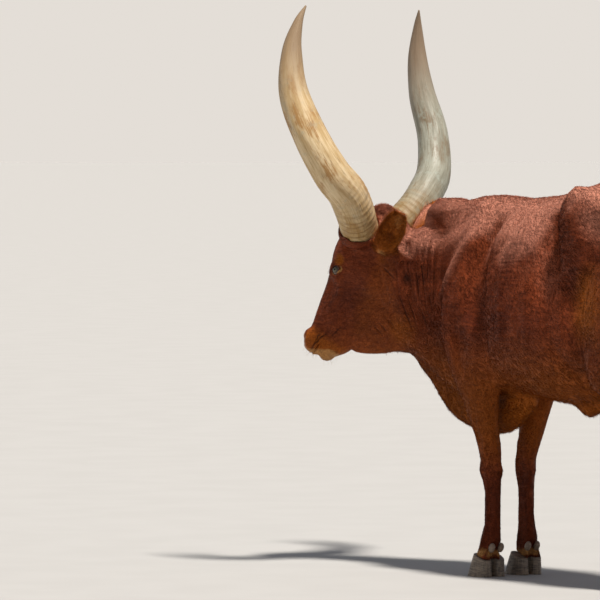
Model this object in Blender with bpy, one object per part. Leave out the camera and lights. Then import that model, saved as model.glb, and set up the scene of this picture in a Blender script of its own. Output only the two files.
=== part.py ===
"""A life-size standing Ankole-Watusi ox: long-horned sanga (zebu) cattle, head lowered and turned left.

The animal faces -Y, its left side is +X, and it stands on Z = 0. Lengths are metres.
"""
import math

import bmesh
import bpy
import numpy as np
from mathutils import Matrix, Vector

# Driving sizes
WITHERS = 1.45
LOIN_DIP = 0.012
SACRUM_RISE = 0.068
BARREL_HALF = 0.272
BELLY_Z = 0.668
BRISKET_Z = 0.53
HOOK = Vector((0.192, 0.840, 1.294))
PIN = Vector((0.10, 1.405, 1.28))
TAIL_HEAD = Vector((0, 1.40, 1.415))

# The poll, and the way the head is held: turned left of the body and pitched down from level
POLL = Vector((0.129, -0.481, 1.385))
HEAD_TURN = math.radians(20)
HEAD_PITCH = math.radians(60)

HORN_BASE_RADIUS = 0.072
HORN_RISE = 0.782
BOSS_COLLAR = 0.020
HORN_THICKNESS = {1: 1.08, -1: 1.0}
EAR_LENGTH = 0.25
EYE_RADIUS = 0.0195
EYE_OPENING = (0.0215, 0.0150)
LID_RIM = 0.0062

# Legs: the height of each joint, and how far from the middle it stands
KNEE_Z = 0.41
FETLOCK_Z = 0.135
CORONET_Z = 0.078
FORE_Y = 0.15
HIND_Y = {"left": 1.045, "right": 1.300}
HOCK_Y = {"left": 1.112, "right": 1.460}
FORE_HOOF_X = 0.088
HIND_HOOF_X = 0.135
CLAW_LENGTH = 0.118
CLAW_SPREAD = 0.033
CLAW_SPLAY = math.radians(6)
CORONET_HALF_WIDTH = 0.0255
CORONET_HALF_LENGTH = 0.0375
CORONET_SLOPE = math.radians(20)

TAIL_END_Z = 0.62
SWITCH_END_Z = 0.27
LOCK_COUNT = 14

# Mesh fineness
TRUNK_VOXEL = 0.014
TRUNK_SOFTENING = 11
VOXEL = 0.0075
LIMB_SOFTENING = 22
FLESH_RATIO = 0.024
FACE_FINENESS = 1.0
SIDES = 20
GAP = 0.0003

SIDE_SIGN = {"left": 1, "right": -1}

COAT = (0.20, 0.065, 0.035)
COAT_DARK = (0.10, 0.035, 0.022)
HORN_IVORY = (0.62, 0.52, 0.36)
HOOF_GREY = (0.055, 0.042, 0.035)
EYE_BROWN = (0.02, 0.012, 0.008)


def clear_scene():
    for obj in list(bpy.data.objects):
        bpy.data.objects.remove(obj, do_unlink=True)


def make_material(name, colour, roughness):
    material = bpy.data.materials.new(name)
    material.use_nodes = True
    shader = material.node_tree.nodes["Principled BSDF"]
    shader.inputs["Base Color"].default_value = (*colour, 1)
    shader.inputs["Roughness"].default_value = roughness
    shader.inputs["Metallic"].default_value = 0
    return material


def add_object(name, mesh):
    obj = bpy.data.objects.new(name, mesh)
    bpy.context.scene.collection.objects.link(obj)
    return obj


def object_from(name, bm):
    bmesh.ops.recalc_face_normals(bm, faces=bm.faces)
    mesh = bpy.data.meshes.new(name)
    bm.to_mesh(mesh)
    bm.free()
    return add_object(name, mesh)


def curve_through(stations, steps):
    """Stations are rows of numbers; returns rows on a smooth curve through them all."""
    rows = np.array(stations, float)
    padded = np.vstack([2 * rows[0] - rows[1], rows, 2 * rows[-1] - rows[-2]])
    out = []
    for i in range(len(rows) - 1):
        before, start, end, after = padded[i : i + 4]
        for t in np.linspace(0, 1, steps, endpoint=False):
            out.append(
                0.5
                * (
                    2 * start
                    + (end - before) * t
                    + (2 * before - 5 * start + 4 * end - after) * t**2
                    + (3 * start - before - 3 * end + after) * t**3
                )
            )
    out.append(rows[-1])
    return np.array(out)


def rounded(value, power):
    return math.copysign(abs(value) ** (2 / power), value)


def oval(centre, across, deep, half_across, half_deep, power=2.0, sides=SIDES):
    points = []
    for i in range(sides):
        angle = math.tau * i / sides
        points.append(
            centre
            + across * (half_across * rounded(math.cos(angle), power))
            + deep * (half_deep * rounded(math.sin(angle), power))
        )
    return points


def loft(name, rings):
    bm = bmesh.new()
    loops = [[bm.verts.new(point) for point in ring] for ring in rings]
    for lower, upper in zip(loops, loops[1:]):
        for i in range(len(lower)):
            j = (i + 1) % len(lower)
            bm.faces.new((lower[i], lower[j], upper[j], upper[i]))
    bm.faces.new(loops[0])
    bm.faces.new(loops[-1])
    return object_from(name, bm)


def tube(name, stations, across=Vector((1, 0, 0)), steps=4, sides=SIDES, power=2.0):
    """Stations are (x, y, z, half width along across, half depth)."""
    rows = curve_through(stations, steps)
    centres = [Vector(row[:3]) for row in rows]
    rings = []
    for i, row in enumerate(rows):
        along = centres[min(i + 1, len(rows) - 1)] - centres[max(i - 1, 0)]
        deep = along.cross(across).normalized()
        flat = deep.cross(along).normalized()
        rings.append(oval(centres[i], flat, deep, max(row[3], 0.0015), max(row[4], 0.0015), power, sides))
    return loft(name, rings)


def ball(name, centre, radii, turn=None, fineness=3):
    bm = bmesh.new()
    bmesh.ops.create_icosphere(bm, subdivisions=fineness, radius=1)
    turn = turn or Matrix.Identity(3)
    placed = Matrix.Translation(centre) @ turn.to_4x4() @ Matrix.Diagonal((*radii, 1))
    bmesh.ops.transform(bm, matrix=placed, verts=bm.verts)
    return object_from(name, bm)


def tilt(degrees, axis):
    return Matrix.Rotation(math.radians(degrees), 3, axis)


def remove(objects):
    for obj in objects:
        bpy.data.objects.remove(obj, do_unlink=True)


def baked(obj):
    """Applies the modifiers of the object."""
    graph = bpy.context.evaluated_depsgraph_get()
    mesh = bpy.data.meshes.new_from_object(obj.evaluated_get(graph))
    obj.modifiers.clear()
    obj.data = mesh
    return obj


def keep_largest(obj):
    """Leaves only the largest closed surface of the object."""
    bm = bmesh.new()
    bm.from_mesh(obj.data)
    left = set(bm.verts)
    groups = []
    while left:
        queue = [left.pop()]
        group = set(queue)
        while queue:
            for edge in queue.pop().link_edges:
                for vert in edge.verts:
                    if vert in left:
                        left.discard(vert)
                        group.add(vert)
                        queue.append(vert)
        groups.append(group)
    largest = max(groups, key=len)
    bmesh.ops.delete(bm, geom=[v for v in bm.verts if v not in largest], context="VERTS")
    bm.to_mesh(obj.data)
    bm.free()
    return obj


def joined(name, pieces):
    bm = bmesh.new()
    for piece in pieces:
        bm.from_mesh(piece.data)
    mesh = bpy.data.meshes.new(name)
    bm.to_mesh(mesh)
    bm.free()
    remove(pieces)
    return add_object(name, mesh)


def unite(name, pieces, solver="MANIFOLD"):
    """Joins closed pieces by one union of a collection."""
    gathered = bpy.data.collections.new(name + "_pieces")
    bpy.context.scene.collection.children.link(gathered)
    core, *rest = pieces
    for piece in rest:
        gathered.objects.link(piece)
    core.name = name
    union = core.modifiers.new("Union", "BOOLEAN")
    union.operation = "UNION"
    union.operand_type = "COLLECTION"
    union.collection = gathered
    union.solver = solver
    baked(core)
    remove(rest)
    bpy.data.collections.remove(gathered)
    return keep_largest(core)


def boolean(obj, other, operation, solver="EXACT"):
    modifier = obj.modifiers.new("Boolean", "BOOLEAN")
    modifier.operation = operation
    modifier.solver = solver
    modifier.object = other
    return baked(obj)


def cut_with(obj, cutter, solver="EXACT"):
    boolean(obj, cutter, "DIFFERENCE", solver)
    remove([cutter])
    return obj


def copy_of(obj, name):
    return add_object(name, obj.data.copy())


def convex_block(name, planes, shift):
    """A block bounded by planes of (point, outward normal), each moved outward by shift."""
    bm = bmesh.new()
    bmesh.ops.create_cube(bm, size=6)
    for point, normal in planes:
        normal = Vector(normal).normalized()
        geometry = list(bm.verts) + list(bm.edges) + list(bm.faces)
        bmesh.ops.bisect_plane(
            bm, geom=geometry, plane_co=Vector(point) + normal * shift, plane_no=normal, clear_outer=True
        )
        bmesh.ops.holes_fill(bm, edges=bm.edges, sides=0)
    return object_from(name, bm)


def part_off(body, name, planes):
    """Parts the share of the body inside the planes into its own object, with a thin gap between the two."""
    piece = copy_of(body, name)
    inner = convex_block("inner", planes, -GAP / 2)
    boolean(piece, inner, "INTERSECT")
    outer = convex_block("outer", planes, GAP / 2)
    boolean(body, outer, "DIFFERENCE")
    remove([inner, outer])
    keep_largest(body)
    return keep_largest(piece)


# The head's own directions: forward, left and up, then along the face and out of the forehead
FORWARD = Vector((math.sin(HEAD_TURN), -math.cos(HEAD_TURN), 0))
LEFT = Vector((math.cos(HEAD_TURN), math.sin(HEAD_TURN), 0))
UP = Vector((0, 0, 1))
DOWN_FACE = FORWARD * math.cos(HEAD_PITCH) - UP * math.sin(HEAD_PITCH)
OUT_OF_FACE = FORWARD * math.sin(HEAD_PITCH) + UP * math.cos(HEAD_PITCH)
HEAD_AXES = Matrix((LEFT, DOWN_FACE, OUT_OF_FACE)).transposed()


def on_head(left, down, out):
    """A point by its distance left of the middle, down the face from the poll, and out of the forehead."""
    return POLL + LEFT * left + DOWN_FACE * down + OUT_OF_FACE * out


def by_head(forward, left, up):
    return POLL + FORWARD * forward + LEFT * left + UP * up


def torso_section(y, top, widest, bottom, half, peak):
    """An egg-shaped ring: peak under 2 narrows the back to a ridge."""
    points = []
    for i in range(SIDES * 2):
        angle = math.tau * i / (SIDES * 2)
        x = half * rounded(math.cos(angle), 2.15)
        upper = math.sin(angle) > 0
        height = (top - widest) if upper else (widest - bottom)
        power = peak if upper else 2.2
        points.append(Vector((x, y, widest + height * rounded(math.sin(angle), power))))
    return points


def torso_forms():
    loin = WITHERS - LOIN_DIP
    sacrum = WITHERS + SACRUM_RISE
    rows = [
        (-0.18, 1.24, 0.98, 0.76, 0.10, 2.0),
        (-0.09, 1.36, 0.98, 0.70, 0.145, 1.9),
        (0.02, WITHERS - 0.025, 0.99, 0.67, 0.17, 1.7),
        (0.15, WITHERS - 0.008, 1.00, 0.68, 0.19, 1.6),
        (0.25, WITHERS - 0.014, 1.00, 0.69, 0.215, 1.6),
        (0.34, loin, 0.99, 0.695, BARREL_HALF - 0.018, 1.65),
        (0.48, loin + 0.010, 0.97, BELLY_Z + 0.01, BARREL_HALF, 1.65),
        (0.62, loin + 0.030, 0.95, BELLY_Z, BARREL_HALF - 0.002, 1.5),
        (0.76, sacrum - 0.012, 0.95, BELLY_Z + 0.02, BARREL_HALF - 0.024, 1.38),
        (0.90, sacrum - 0.002, 1.00, BELLY_Z + 0.09, 0.226, 1.45),
        (1.05, sacrum - 0.006, 1.10, 0.80, 0.20, 1.55),
        (1.20, sacrum - 0.035, 1.14, 0.86, 0.185, 1.6),
        (1.33, TAIL_HEAD.z - 0.018, 1.17, 0.93, 0.150, 1.7),
        (1.41, TAIL_HEAD.z - 0.060, 1.19, 1.00, 0.095, 1.9),
        (1.44, TAIL_HEAD.z - 0.110, 1.20, 1.06, 0.045, 2.0),
    ]
    rings = [torso_section(*row) for row in curve_through(rows, 3)]
    pieces = [loft("barrel", rings)]
    pieces.append(
        tube("spine", [
            (0, -0.02, WITHERS - 0.045, 0.045, 0.03),
            (0, 0.12, WITHERS - 0.03, 0.05, 0.03),
            (0, 0.40, loin - 0.03, 0.06, 0.025),
            (0, 0.72, loin + 0.005, 0.085, 0.022),
            (0, 0.95, sacrum - 0.025, 0.07, 0.025),
            (0, 1.25, sacrum - 0.06, 0.045, 0.03),
            (0, 1.40, TAIL_HEAD.z - 0.045, 0.036, 0.034),
        ])
    )
    for s in SIDE_SIGN.values():
        pieces.append(ball("hip", Vector((HOOK.x * s, HOOK.y, HOOK.z)), (0.068, 0.125, 0.204), tilt(4, "X")))
        pieces.append(ball("rump", Vector((0.095 * s, HOOK.y + 0.06, HOOK.z + 0.100)), (0.150, 0.225, 0.098)))
    hump = Vector((0.012, -0.12, WITHERS - 0.135))
    pieces.append(ball("hump", hump, (0.080, 0.235, 0.118), tilt(-14, "X")))
    pieces.append(ball("hump_back", Vector((0, 0.03, WITHERS - 0.075)), (0.08, 0.16, 0.07)))
    pieces.append(ball("sheath", Vector((0, 0.652, BELLY_Z)), (0.038, 0.070, 0.054)))
    pieces.append(ball("sheath_root", Vector((0, 0.760, BELLY_Z + 0.012)), (0.036, 0.120, 0.040)))
    return pieces


def dewlap_forms():
    """The loose skin from under the jaw down the throat to the brisket between the forelegs."""
    # Under the jaw: distance ahead of the poll, top, bottom, half width at the top
    under_jaw = [
        (0.165, -0.470, -0.540, 0.030),
        (0.130, -0.420, -0.560, 0.040),
        (0.080, -0.360, -0.566, 0.050),
        (0.020, -0.310, -0.566, 0.058),
        (-0.050, -0.270, -0.562, 0.064),
        (-0.110, -0.250, -0.556, 0.066),
        (-0.170, -0.250, -0.560, 0.064),
    ]
    rings = []
    for ahead, top, bottom, half in curve_through(under_jaw, 2):
        ring = []
        for i in range(SIDES):
            angle = math.tau * i / SIDES
            lift = math.sin(angle)
            narrow = 1 - 0.62 * max(0, (0.30 - lift) / 1.30) ** 1.2
            across = half * narrow * rounded(math.cos(angle), 2.2)
            ring.append(by_head(ahead, across, (top + bottom) / 2 + (top - bottom) / 2 * rounded(lift, 2.2)))
        rings.append(ring)
    lower = [
        (by_head(-0.050, -0.003, -0.470), 0.020, 0.076),
        (by_head(-0.130, -0.008, -0.430), 0.026, 0.112),
        (Vector((0.058, -0.280, 0.860)), 0.028, 0.108),
        (Vector((0.030, -0.198, 0.768)), 0.030, 0.108),
        (Vector((0.012, -0.140, 0.690)), 0.038, 0.105),
        (Vector((0, -0.055, BRISKET_Z + 0.105)), 0.050, 0.085),
        (Vector((0, 0.060, BRISKET_Z + 0.085)), 0.054, 0.080),
        (Vector((0, 0.160, BRISKET_Z + 0.095)), 0.050, 0.075),
        (Vector((0, 0.290, BRISKET_Z + 0.17)), 0.04, 0.06),
    ]
    stations = [(*point, across, deep) for point, across, deep in lower]
    filled = [
        (*by_head(-0.060, 0, -0.400), 0.055, 0.110),
        (0.068, -0.29, 0.93, 0.070, 0.120),
        (0.040, -0.19, 0.86, 0.088, 0.120),
        (0.012, -0.08, 0.79, 0.100, 0.120),
        (0, 0.03, 0.74, 0.100, 0.105),
    ]
    return [loft("under_jaw", rings), tube("dewlap", stations, steps=3), tube("throat", filled, steps=3)]


def neck_forms():
    back = on_head(0, 0.10, -0.10)
    core = [
        (0, 0.06, 1.06, 0.195, 0.34),
        (0.006, -0.06, 1.07, 0.165, 0.315),
        (0.025, -0.17, 1.08, 0.135, 0.265),
        (0.062, -0.29, 1.10, 0.112, 0.222),
        (0.100, -0.39, 1.13, 0.098, 0.195),
        (back.x, back.y, back.z - 0.03, 0.088, 0.155),
    ]
    crest = [
        (0.01, -0.02, WITHERS - 0.13, 0.07, 0.07),
        (0.035, -0.22, 1.262, 0.060, 0.07),
        (0.085, -0.36, 1.242, 0.055, 0.07),
        (POLL.x - 0.01, POLL.y + 0.06, POLL.z - 0.10, 0.05, 0.065),
    ]
    return [tube("neck_core", core), tube("crest", crest)]


def head_forms():
    # Down the face: distance from the poll, forehead line, level of the greatest width, jaw line, half width
    rows = [
        (-0.005, -0.006, -0.065, -0.120, 0.048),
        (0.03, 0.040, -0.060, -0.165, 0.088),
        (0.09, 0.084, -0.050, -0.200, 0.102),
        (0.17, 0.107, -0.045, -0.230, 0.107),
        (0.24, 0.105, -0.047, -0.243, 0.107),
        (0.30, 0.090, -0.050, -0.232, 0.094),
        (0.37, 0.078, -0.050, -0.206, 0.079),
        (0.45, 0.072, -0.042, -0.172, 0.067),
        (0.52, 0.062, -0.030, -0.148, 0.061),
        (0.57, 0.053, -0.015, -0.130, 0.063),
        (0.61, 0.045, -0.010, -0.094, 0.060),
        (0.632, 0.030, -0.012, -0.066, 0.046),
    ]
    rings = []
    for down, top, widest, bottom, half in curve_through(rows, 3):
        ring = []
        for i in range(SIDES + 8):
            angle = math.tau * i / (SIDES + 8)
            lift = math.sin(angle)
            reach = (top - widest) if lift > 0 else (widest - bottom)
            power = 2.5 if lift > 0 else 2.1
            across = half * rounded(math.cos(angle), 2.3)
            ring.append(on_head(across, down, widest + reach * rounded(lift, power)))
        rings.append(ring)
    pieces = [loft("skull", rings)]
    pieces.append(ball("nose_pad", on_head(0, 0.607, 0.014), (0.068, 0.050, 0.046), HEAD_AXES))
    pieces.append(ball("chin", on_head(0, 0.608, -0.052), (0.044, 0.046, 0.034), HEAD_AXES))
    pieces.append(ball("poll", on_head(0, 0.035, -0.01), (0.07, 0.05, 0.045), HEAD_AXES))
    return pieces


def face_forms(side):
    sign = SIDE_SIGN[side]
    pieces = [
        ball("orbit", on_head(0.074 * sign, 0.274, 0.018), (0.034, 0.066, 0.046), HEAD_AXES),
        ball("cheek", on_head(0.062 * sign, 0.225, -0.120), (0.038, 0.095, 0.095), HEAD_AXES),
        ball("nostril_wing", on_head(0.047 * sign, 0.585, 0.022), (0.030, 0.038, 0.032), HEAD_AXES),
        ball("upper_lip", on_head(0.040 * sign, 0.602, -0.022), (0.029, 0.042, 0.026), HEAD_AXES),
        ball("lower_lip", on_head(0.028 * sign, 0.606, -0.054), (0.026, 0.036, 0.020), HEAD_AXES),
        tube("cheek_bone", [
            (*on_head(0.080 * sign, 0.28, -0.022), 0.018, 0.018),
            (*on_head(0.068 * sign, 0.36, -0.026), 0.014, 0.017),
            (*on_head(0.054 * sign, 0.44, -0.030), 0.010, 0.015),
        ]),
    ]
    boss = horn_points(sign)[:2]
    base, radius = boss[0]
    collar = base + (boss[1][0] - base).normalized() * BOSS_COLLAR
    stations = [
        (*(POLL + (base - POLL) * 0.45), 0.05, 0.05),
        (*base, radius + 0.010, radius + 0.010),
        (*collar, radius + 0.005, radius + 0.005),
    ]
    pieces.append(tube("horn_boss", stations, across=FORWARD, steps=3))
    root = ear_root(sign)
    inward = POLL + (root - POLL) * 0.55
    pieces.append(tube("ear_boss", [(*inward, 0.04, 0.04), (*root, 0.033, 0.033)], across=UP, steps=2))
    return pieces


def horn_points(sign):
    """The middle line of a horn and its radius: out from the poll, up in a lyre, and in at the tip."""
    rows = [
        (0.032, 0.118, -0.078, HORN_BASE_RADIUS - 0.003),
        (-0.002, 0.200, -0.008, HORN_BASE_RADIUS - 0.001),
        (-0.014, 0.275, 0.069, 0.071),
        (0.003, 0.355, 0.145, 0.068),
        (0.054, 0.424, 0.290, 0.062),
        (0.116, 0.442, 0.450, 0.053),
        (0.132, 0.432, 0.600, 0.037),
        (0.117, 0.412, 0.715, 0.018),
        (0.096, 0.389, HORN_RISE, 0.003),
    ]
    thickness = HORN_THICKNESS[sign]
    return [(by_head(forward, left * sign, up), radius * thickness) for forward, left, up, radius in rows]


def make_horn(side):
    sign = SIDE_SIGN[side]
    stations = [(*point, radius, radius) for point, radius in horn_points(sign)]
    return tube("horn_" + side, stations, across=FORWARD, steps=2, sides=16)


def ear_root(sign):
    return by_head(-0.056, 0.112 * sign, -0.160)


def ear_axes(side):
    """The root of an ear, the way it points, the way its cup opens, and its width."""
    root = ear_root(SIDE_SIGN[side])
    tip = {"left": by_head(-0.222, 0.196, 0.006), "right": by_head(-0.095, -0.225, 0.022)}[side]
    along = (tip - root).normalized()
    opening = {"left": LEFT * 0.94 - FORWARD * 0.30, "right": FORWARD * 0.85 - LEFT * 0.35}[side]
    opening = (opening - along * opening.dot(along)).normalized()
    return root, along, opening, along.cross(opening)


def seat_ear(head, side):
    """Cuts the flat seat of an ear into the head."""
    root, along, opening, across = ear_axes(side)
    rings = []
    for reach in (-GAP, 0.03, 0.09):
        rings.append(oval(root + along * reach, across, opening, 0.040 + reach * 0.4, 0.037 + reach * 0.4))
    return keep_largest(cut_with(head, loft("seat", rings)))


def make_ear(side):
    """A leaf-shaped cup: a rolled stalk at the root that opens into a shallow blade with a round tip."""
    root, along, opening, across = ear_axes(side)
    rings = []
    lengths = 11
    sides = 8
    for i in range(lengths):
        t = i / (lengths - 1)
        bow = 0.012 * math.sin(math.pi * t) + 0.004 * t * t
        centre = root + along * (EAR_LENGTH * t) - opening * bow
        half = 0.030 + 0.025 * math.sin(math.pi * min(1, t * 1.02) ** 0.80)
        half *= math.sqrt(max(0.04, 1 - max(0, (t - 0.60) / 0.42) ** 2))
        wall = 0.0045 + 0.010 * (1 - t) ** 3
        hollow = min(1, max(0, (t - 0.06) / 0.22))
        depth = half * (0.80 - 0.42 * t)
        outer = []
        inner = []
        for k in range(sides + 1):
            angle = math.pi * (k / sides) * 1.15 - math.pi * 0.075
            swing = across * math.cos(angle) * half
            deep = math.sin(angle) * depth
            outer.append(centre + swing - opening * deep)
            lift = hollow * (-deep + wall * 1.2) + (1 - hollow) * abs(deep)
            inner.append(centre + swing * (1 - wall / half * 0.9) + opening * lift)
        rings.append(outer + inner[::-1])
    return loft("ear_" + side, rings)


def foreleg_forms(side):
    s = SIDE_SIGN[side]
    y = FORE_Y
    blade = tube("shoulder_blade", [
        (0.040 * s, 0.15, WITHERS - 0.045, 0.035, 0.085),
        (0.100 * s, 0.12, 1.31, 0.050, 0.100),
        (0.145 * s, 0.10, 1.16, 0.062, 0.110),
        (0.165 * s, 0.075, 1.03, 0.062, 0.110),
        (0.165 * s, 0.055, 0.93, 0.055, 0.090),
    ])
    blade_ridge = tube("blade_ridge", [
        (0.065 * s, 0.17, WITHERS - 0.075, 0.012, 0.014),
        (0.140 * s, 0.13, 1.26, 0.020, 0.022),
        (0.198 * s, 0.06, 1.08, 0.022, 0.026),
        (0.198 * s, 0.01, 0.98, 0.026, 0.040),
    ])
    triceps = ball("triceps", Vector((0.165 * s, 0.195, 0.90)), (0.062, 0.130, 0.165), tilt(-18, "X"))
    upper_arm = tube("upper_arm", [
        (0.172 * s, 0.02, 0.97, 0.055, 0.070),
        (0.160 * s, 0.085, 0.84, 0.058, 0.090),
        (0.140 * s, y - 0.008, 0.72, 0.056, 0.105),
        (0.122 * s, y, 0.62, 0.050, 0.078),
        (0.105 * s, y + 0.004, 0.54, 0.043, 0.057),
        (0.082 * s, y, KNEE_Z + 0.05, 0.044, 0.045),
        (0.073 * s, y - 0.004, KNEE_Z, 0.051, 0.048),
        (0.075 * s, y + 0.002, KNEE_Z - 0.05, 0.041, 0.040),
        (0.079 * s, y + 0.006, 0.30, 0.030, 0.036),
        (0.080 * s, y + 0.006, 0.21, 0.031, 0.036),
        (0.083 * s, y + 0.004, FETLOCK_Z + 0.02, 0.040, 0.043),
        (0.086 * s, y - 0.004, FETLOCK_Z - 0.02, 0.041, 0.042),
    ], steps=3)
    knee_back = ball("knee_back", Vector((0.075 * s, y + 0.03, KNEE_Z - 0.005)), (0.030, 0.024, 0.042))
    elbow = ball("elbow", Vector((0.142 * s, y + 0.125, 0.775)), (0.035, 0.040, 0.055))
    return [blade, blade_ridge, triceps], [upper_arm, knee_back, elbow]


def hindleg_forms(side):
    """The left hind leg steps forward under the belly; the right one stands back."""
    s = SIDE_SIGN[side]
    # Height, middle of the leg front to back, half depth, distance out, half width
    path = {
        "left": [
            (1.28, 1.090, 0.180, 0.140, 0.070),
            (1.14, 1.085, 0.245, 0.155, 0.085),
            (1.00, 1.072, 0.270, 0.164, 0.090),
            (0.90, 1.064, 0.222, 0.167, 0.086),
            (0.82, 1.058, 0.166, 0.165, 0.078),
            (0.745, 1.054, 0.124, 0.160, 0.066),
            (0.68, 1.058, 0.094, 0.155, 0.054),
            (0.615, 1.062, 0.076, 0.150, 0.045),
            (0.53, 1.050, 0.060, 0.147, 0.041),
            (0.44, 1.052, 0.044, 0.143, 0.034),
            (0.35, 1.057, 0.036, 0.139, 0.030),
            (0.25, 1.066, 0.036, 0.137, 0.030),
            (FETLOCK_Z + 0.03, 1.074, 0.044, 0.136, 0.041),
            (FETLOCK_Z - 0.015, 1.064, 0.043, 0.136, 0.042),
        ],
        "right": [
            (1.28, 1.080, 0.180, 0.140, 0.070),
            (1.14, 1.095, 0.240, 0.155, 0.085),
            (0.98, 1.110, 0.262, 0.162, 0.090),
            (0.84, 1.150, 0.210, 0.165, 0.080),
            (0.74, 1.209, 0.155, 0.160, 0.065),
            (0.655, 1.297, 0.102, 0.153, 0.050),
            (0.590, 1.380, 0.070, 0.148, 0.043),
            (0.530, 1.410, 0.058, 0.146, 0.041),
            (0.460, 1.400, 0.045, 0.142, 0.034),
            (0.370, 1.380, 0.036, 0.138, 0.030),
            (0.260, 1.358, 0.036, 0.136, 0.030),
            (FETLOCK_Z + 0.03, 1.337, 0.044, 0.136, 0.041),
            (FETLOCK_Z - 0.015, 1.319, 0.043, 0.136, 0.042),
        ],
    }[side]
    thigh = tube("thigh", [(out * s, y, z, half, deep) for z, y, deep, out, half in path], steps=3)
    stifle_y, stifle_z = {"left": (0.950, 0.83), "right": (1.015, 0.82)}[side]
    stifle = ball("stifle", Vector((0.184 * s, stifle_y, stifle_z)), (0.060, 0.078, 0.125), tilt(10, "X"))
    hock_y = HOCK_Y[side]
    hock_point = ball("hock_point", Vector((0.148 * s, hock_y, 0.60)), (0.026, 0.032, 0.045), tilt(20, "X"))
    tendon = tube("tendon", [
        (0.152 * s, hock_y + {"left": 0.09, "right": -0.05}[side], 0.88, 0.040, 0.07),
        (0.150 * s, hock_y + {"left": 0.01, "right": -0.04}[side], 0.74, 0.024, 0.044),
        (0.148 * s, hock_y - 0.003, 0.62, 0.020, 0.026),
        (0.146 * s, hock_y - 0.013, 0.53, 0.018, 0.022),
    ])
    haunch = ball("haunch", Vector((0.118 * s, 1.06, 1.25)), (0.110, 0.29, 0.17), tilt(10, "X"))
    lean = {"left": 2, "right": 8}[side]
    ham = ball("ham", Vector((0.108 * s, 1.275, 1.06)), (0.095, 0.145, 0.30), tilt(lean, "X"))
    return [haunch, ham, stifle], [thigh, hock_point, tendon]


def foot_places():
    """Each foot: its name, its middle at the fetlock, and the middle of its two claws."""
    places = []
    for side, s in SIDE_SIGN.items():
        places.append((
            "front_" + side,
            Vector((0.086 * s, FORE_Y - 0.004, FETLOCK_Z - 0.02)),
            Vector((FORE_HOOF_X * s, FORE_Y - 0.008, CORONET_Z)),
        ))
        y = HIND_Y[side]
        places.append((
            "hind_" + side,
            Vector((0.136 * s, y + 0.019, FETLOCK_Z - 0.015)),
            Vector((HIND_HOOF_X * s, y + 0.003, CORONET_Z)),
        ))
    return places


def digit_forms(fetlock, claws):
    pieces = []
    for s in (1, -1):
        top = fetlock + Vector((0.018 * s, -0.004, 0.0))
        end = claws + Vector((CLAW_SPREAD * s, 0.004, -0.022))
        middle = (top + end) / 2 + Vector((0, 0.004, 0.004))
        stations = [(*top, 0.025, 0.037), (*middle, 0.0255, 0.036), (*end, 0.0275, 0.041)]
        pieces.append(tube("digit", stations, steps=3))
    return pieces


def fuse(name, pieces, voxel):
    """Joins overlapping closed pieces into one closed skin."""
    body = joined(name, pieces)
    remesh = body.modifiers.new("Remesh", "REMESH")
    remesh.mode = "VOXEL"
    remesh.voxel_size = voxel
    return keep_largest(baked(body))


def soften(body, iterations, group=""):
    smooth = body.modifiers.new("Smooth", "SMOOTH")
    smooth.factor = 0.5
    smooth.iterations = iterations
    smooth.vertex_group = group
    return baked(body)


def press(body, places):
    """Raises or sinks the skin round each place: its centre, radii, height and turn."""
    mesh = body.data
    count = len(mesh.vertices)
    points = np.empty(count * 3)
    mesh.vertices.foreach_get("co", points)
    points = points.reshape(-1, 3)
    normals = np.array([tuple(vert.normal) for vert in mesh.vertices])
    rise = np.zeros(count)
    for centre, radii, height, turn in places:
        local = (points - np.array(centre)) @ np.array(turn)
        distance = ((local / np.array(radii)) ** 2).sum(axis=1)
        rise += height * np.clip(1 - distance, 0, 1) ** 2
    mesh.vertices.foreach_set("co", (points + normals * rise[:, None]).ravel())
    mesh.update()
    return body


def trunk_places(side):
    """The hollows and swells of one side of the trunk."""
    s = SIDE_SIGN[side]
    straight = Matrix.Identity(3)
    return [
        (Vector((0.205 * s, 0.275, 1.02)), (0.10, 0.055, 0.24), -0.020, tilt(10, "X")),
        (Vector((0.150 * s, 0.255, 1.28)), (0.12, 0.050, 0.16), -0.012, tilt(-8, "X")),
        (Vector((0.210 * s, 0.690, 1.220)), (0.16, 0.100, 0.220), -0.020, straight),
        (Vector((0.200 * s, 0.880, 1.430)), (0.060, 0.100, 0.050), 0.006, straight),
        (Vector((0.105 * s, 0.72, 1.405)), (0.085, 0.30, 0.055), 0.012, straight),
        (Vector((0.155 * s, 1.14, 1.335)), (0.14, 0.120, 0.085), -0.012, straight),
        (Vector((0.115 * s, 1.405, PIN.z)), (0.070, 0.070, 0.070), 0.024, straight),
        (Vector((0.055 * s, 1.385, 1.385)), (0.050, 0.070, 0.060), -0.014, straight),
        (Vector((0.200 * s, 1.215, 1.10)), (0.10, 0.040, 0.22), -0.010, tilt(-8, "X")),
        (Vector((0.085 * s, 0.11, 1.405)), (0.055, 0.10, 0.055), 0.010, straight),
    ]


def face_places(sign):
    """The hollows and swells of one side of the head and throat."""
    return [
        (on_head(0.100 * sign, 0.175, 0.000), (0.05, 0.050, 0.040), -0.008, HEAD_AXES),
        (on_head(0.080 * sign, 0.352, 0.024), (0.05, 0.055, 0.030), -0.007, HEAD_AXES),
        (on_head(0.065 * sign, 0.430, -0.090), (0.05, 0.085, 0.035), -0.008, HEAD_AXES),
        (on_head(0.062 * sign, 0.515, -0.030), (0.05, 0.045, 0.050), -0.004, HEAD_AXES),
        (on_head(0.090 * sign, 0.240, -0.150), (0.05, 0.090, 0.075), 0.008, HEAD_AXES),
        (by_head(-0.140, 0.115 * sign, -0.110), (0.075, 0.075, 0.085), -0.016, Matrix.Identity(3)),
        (by_head(-0.085, 0.075 * sign, -0.390), (0.10, 0.045, 0.10), -0.010, Matrix.Identity(3)),
        (by_head(-0.110, 0.070 * sign, -0.500), (0.07, 0.055, 0.050), -0.012, Matrix.Identity(3)),
    ]


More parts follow.
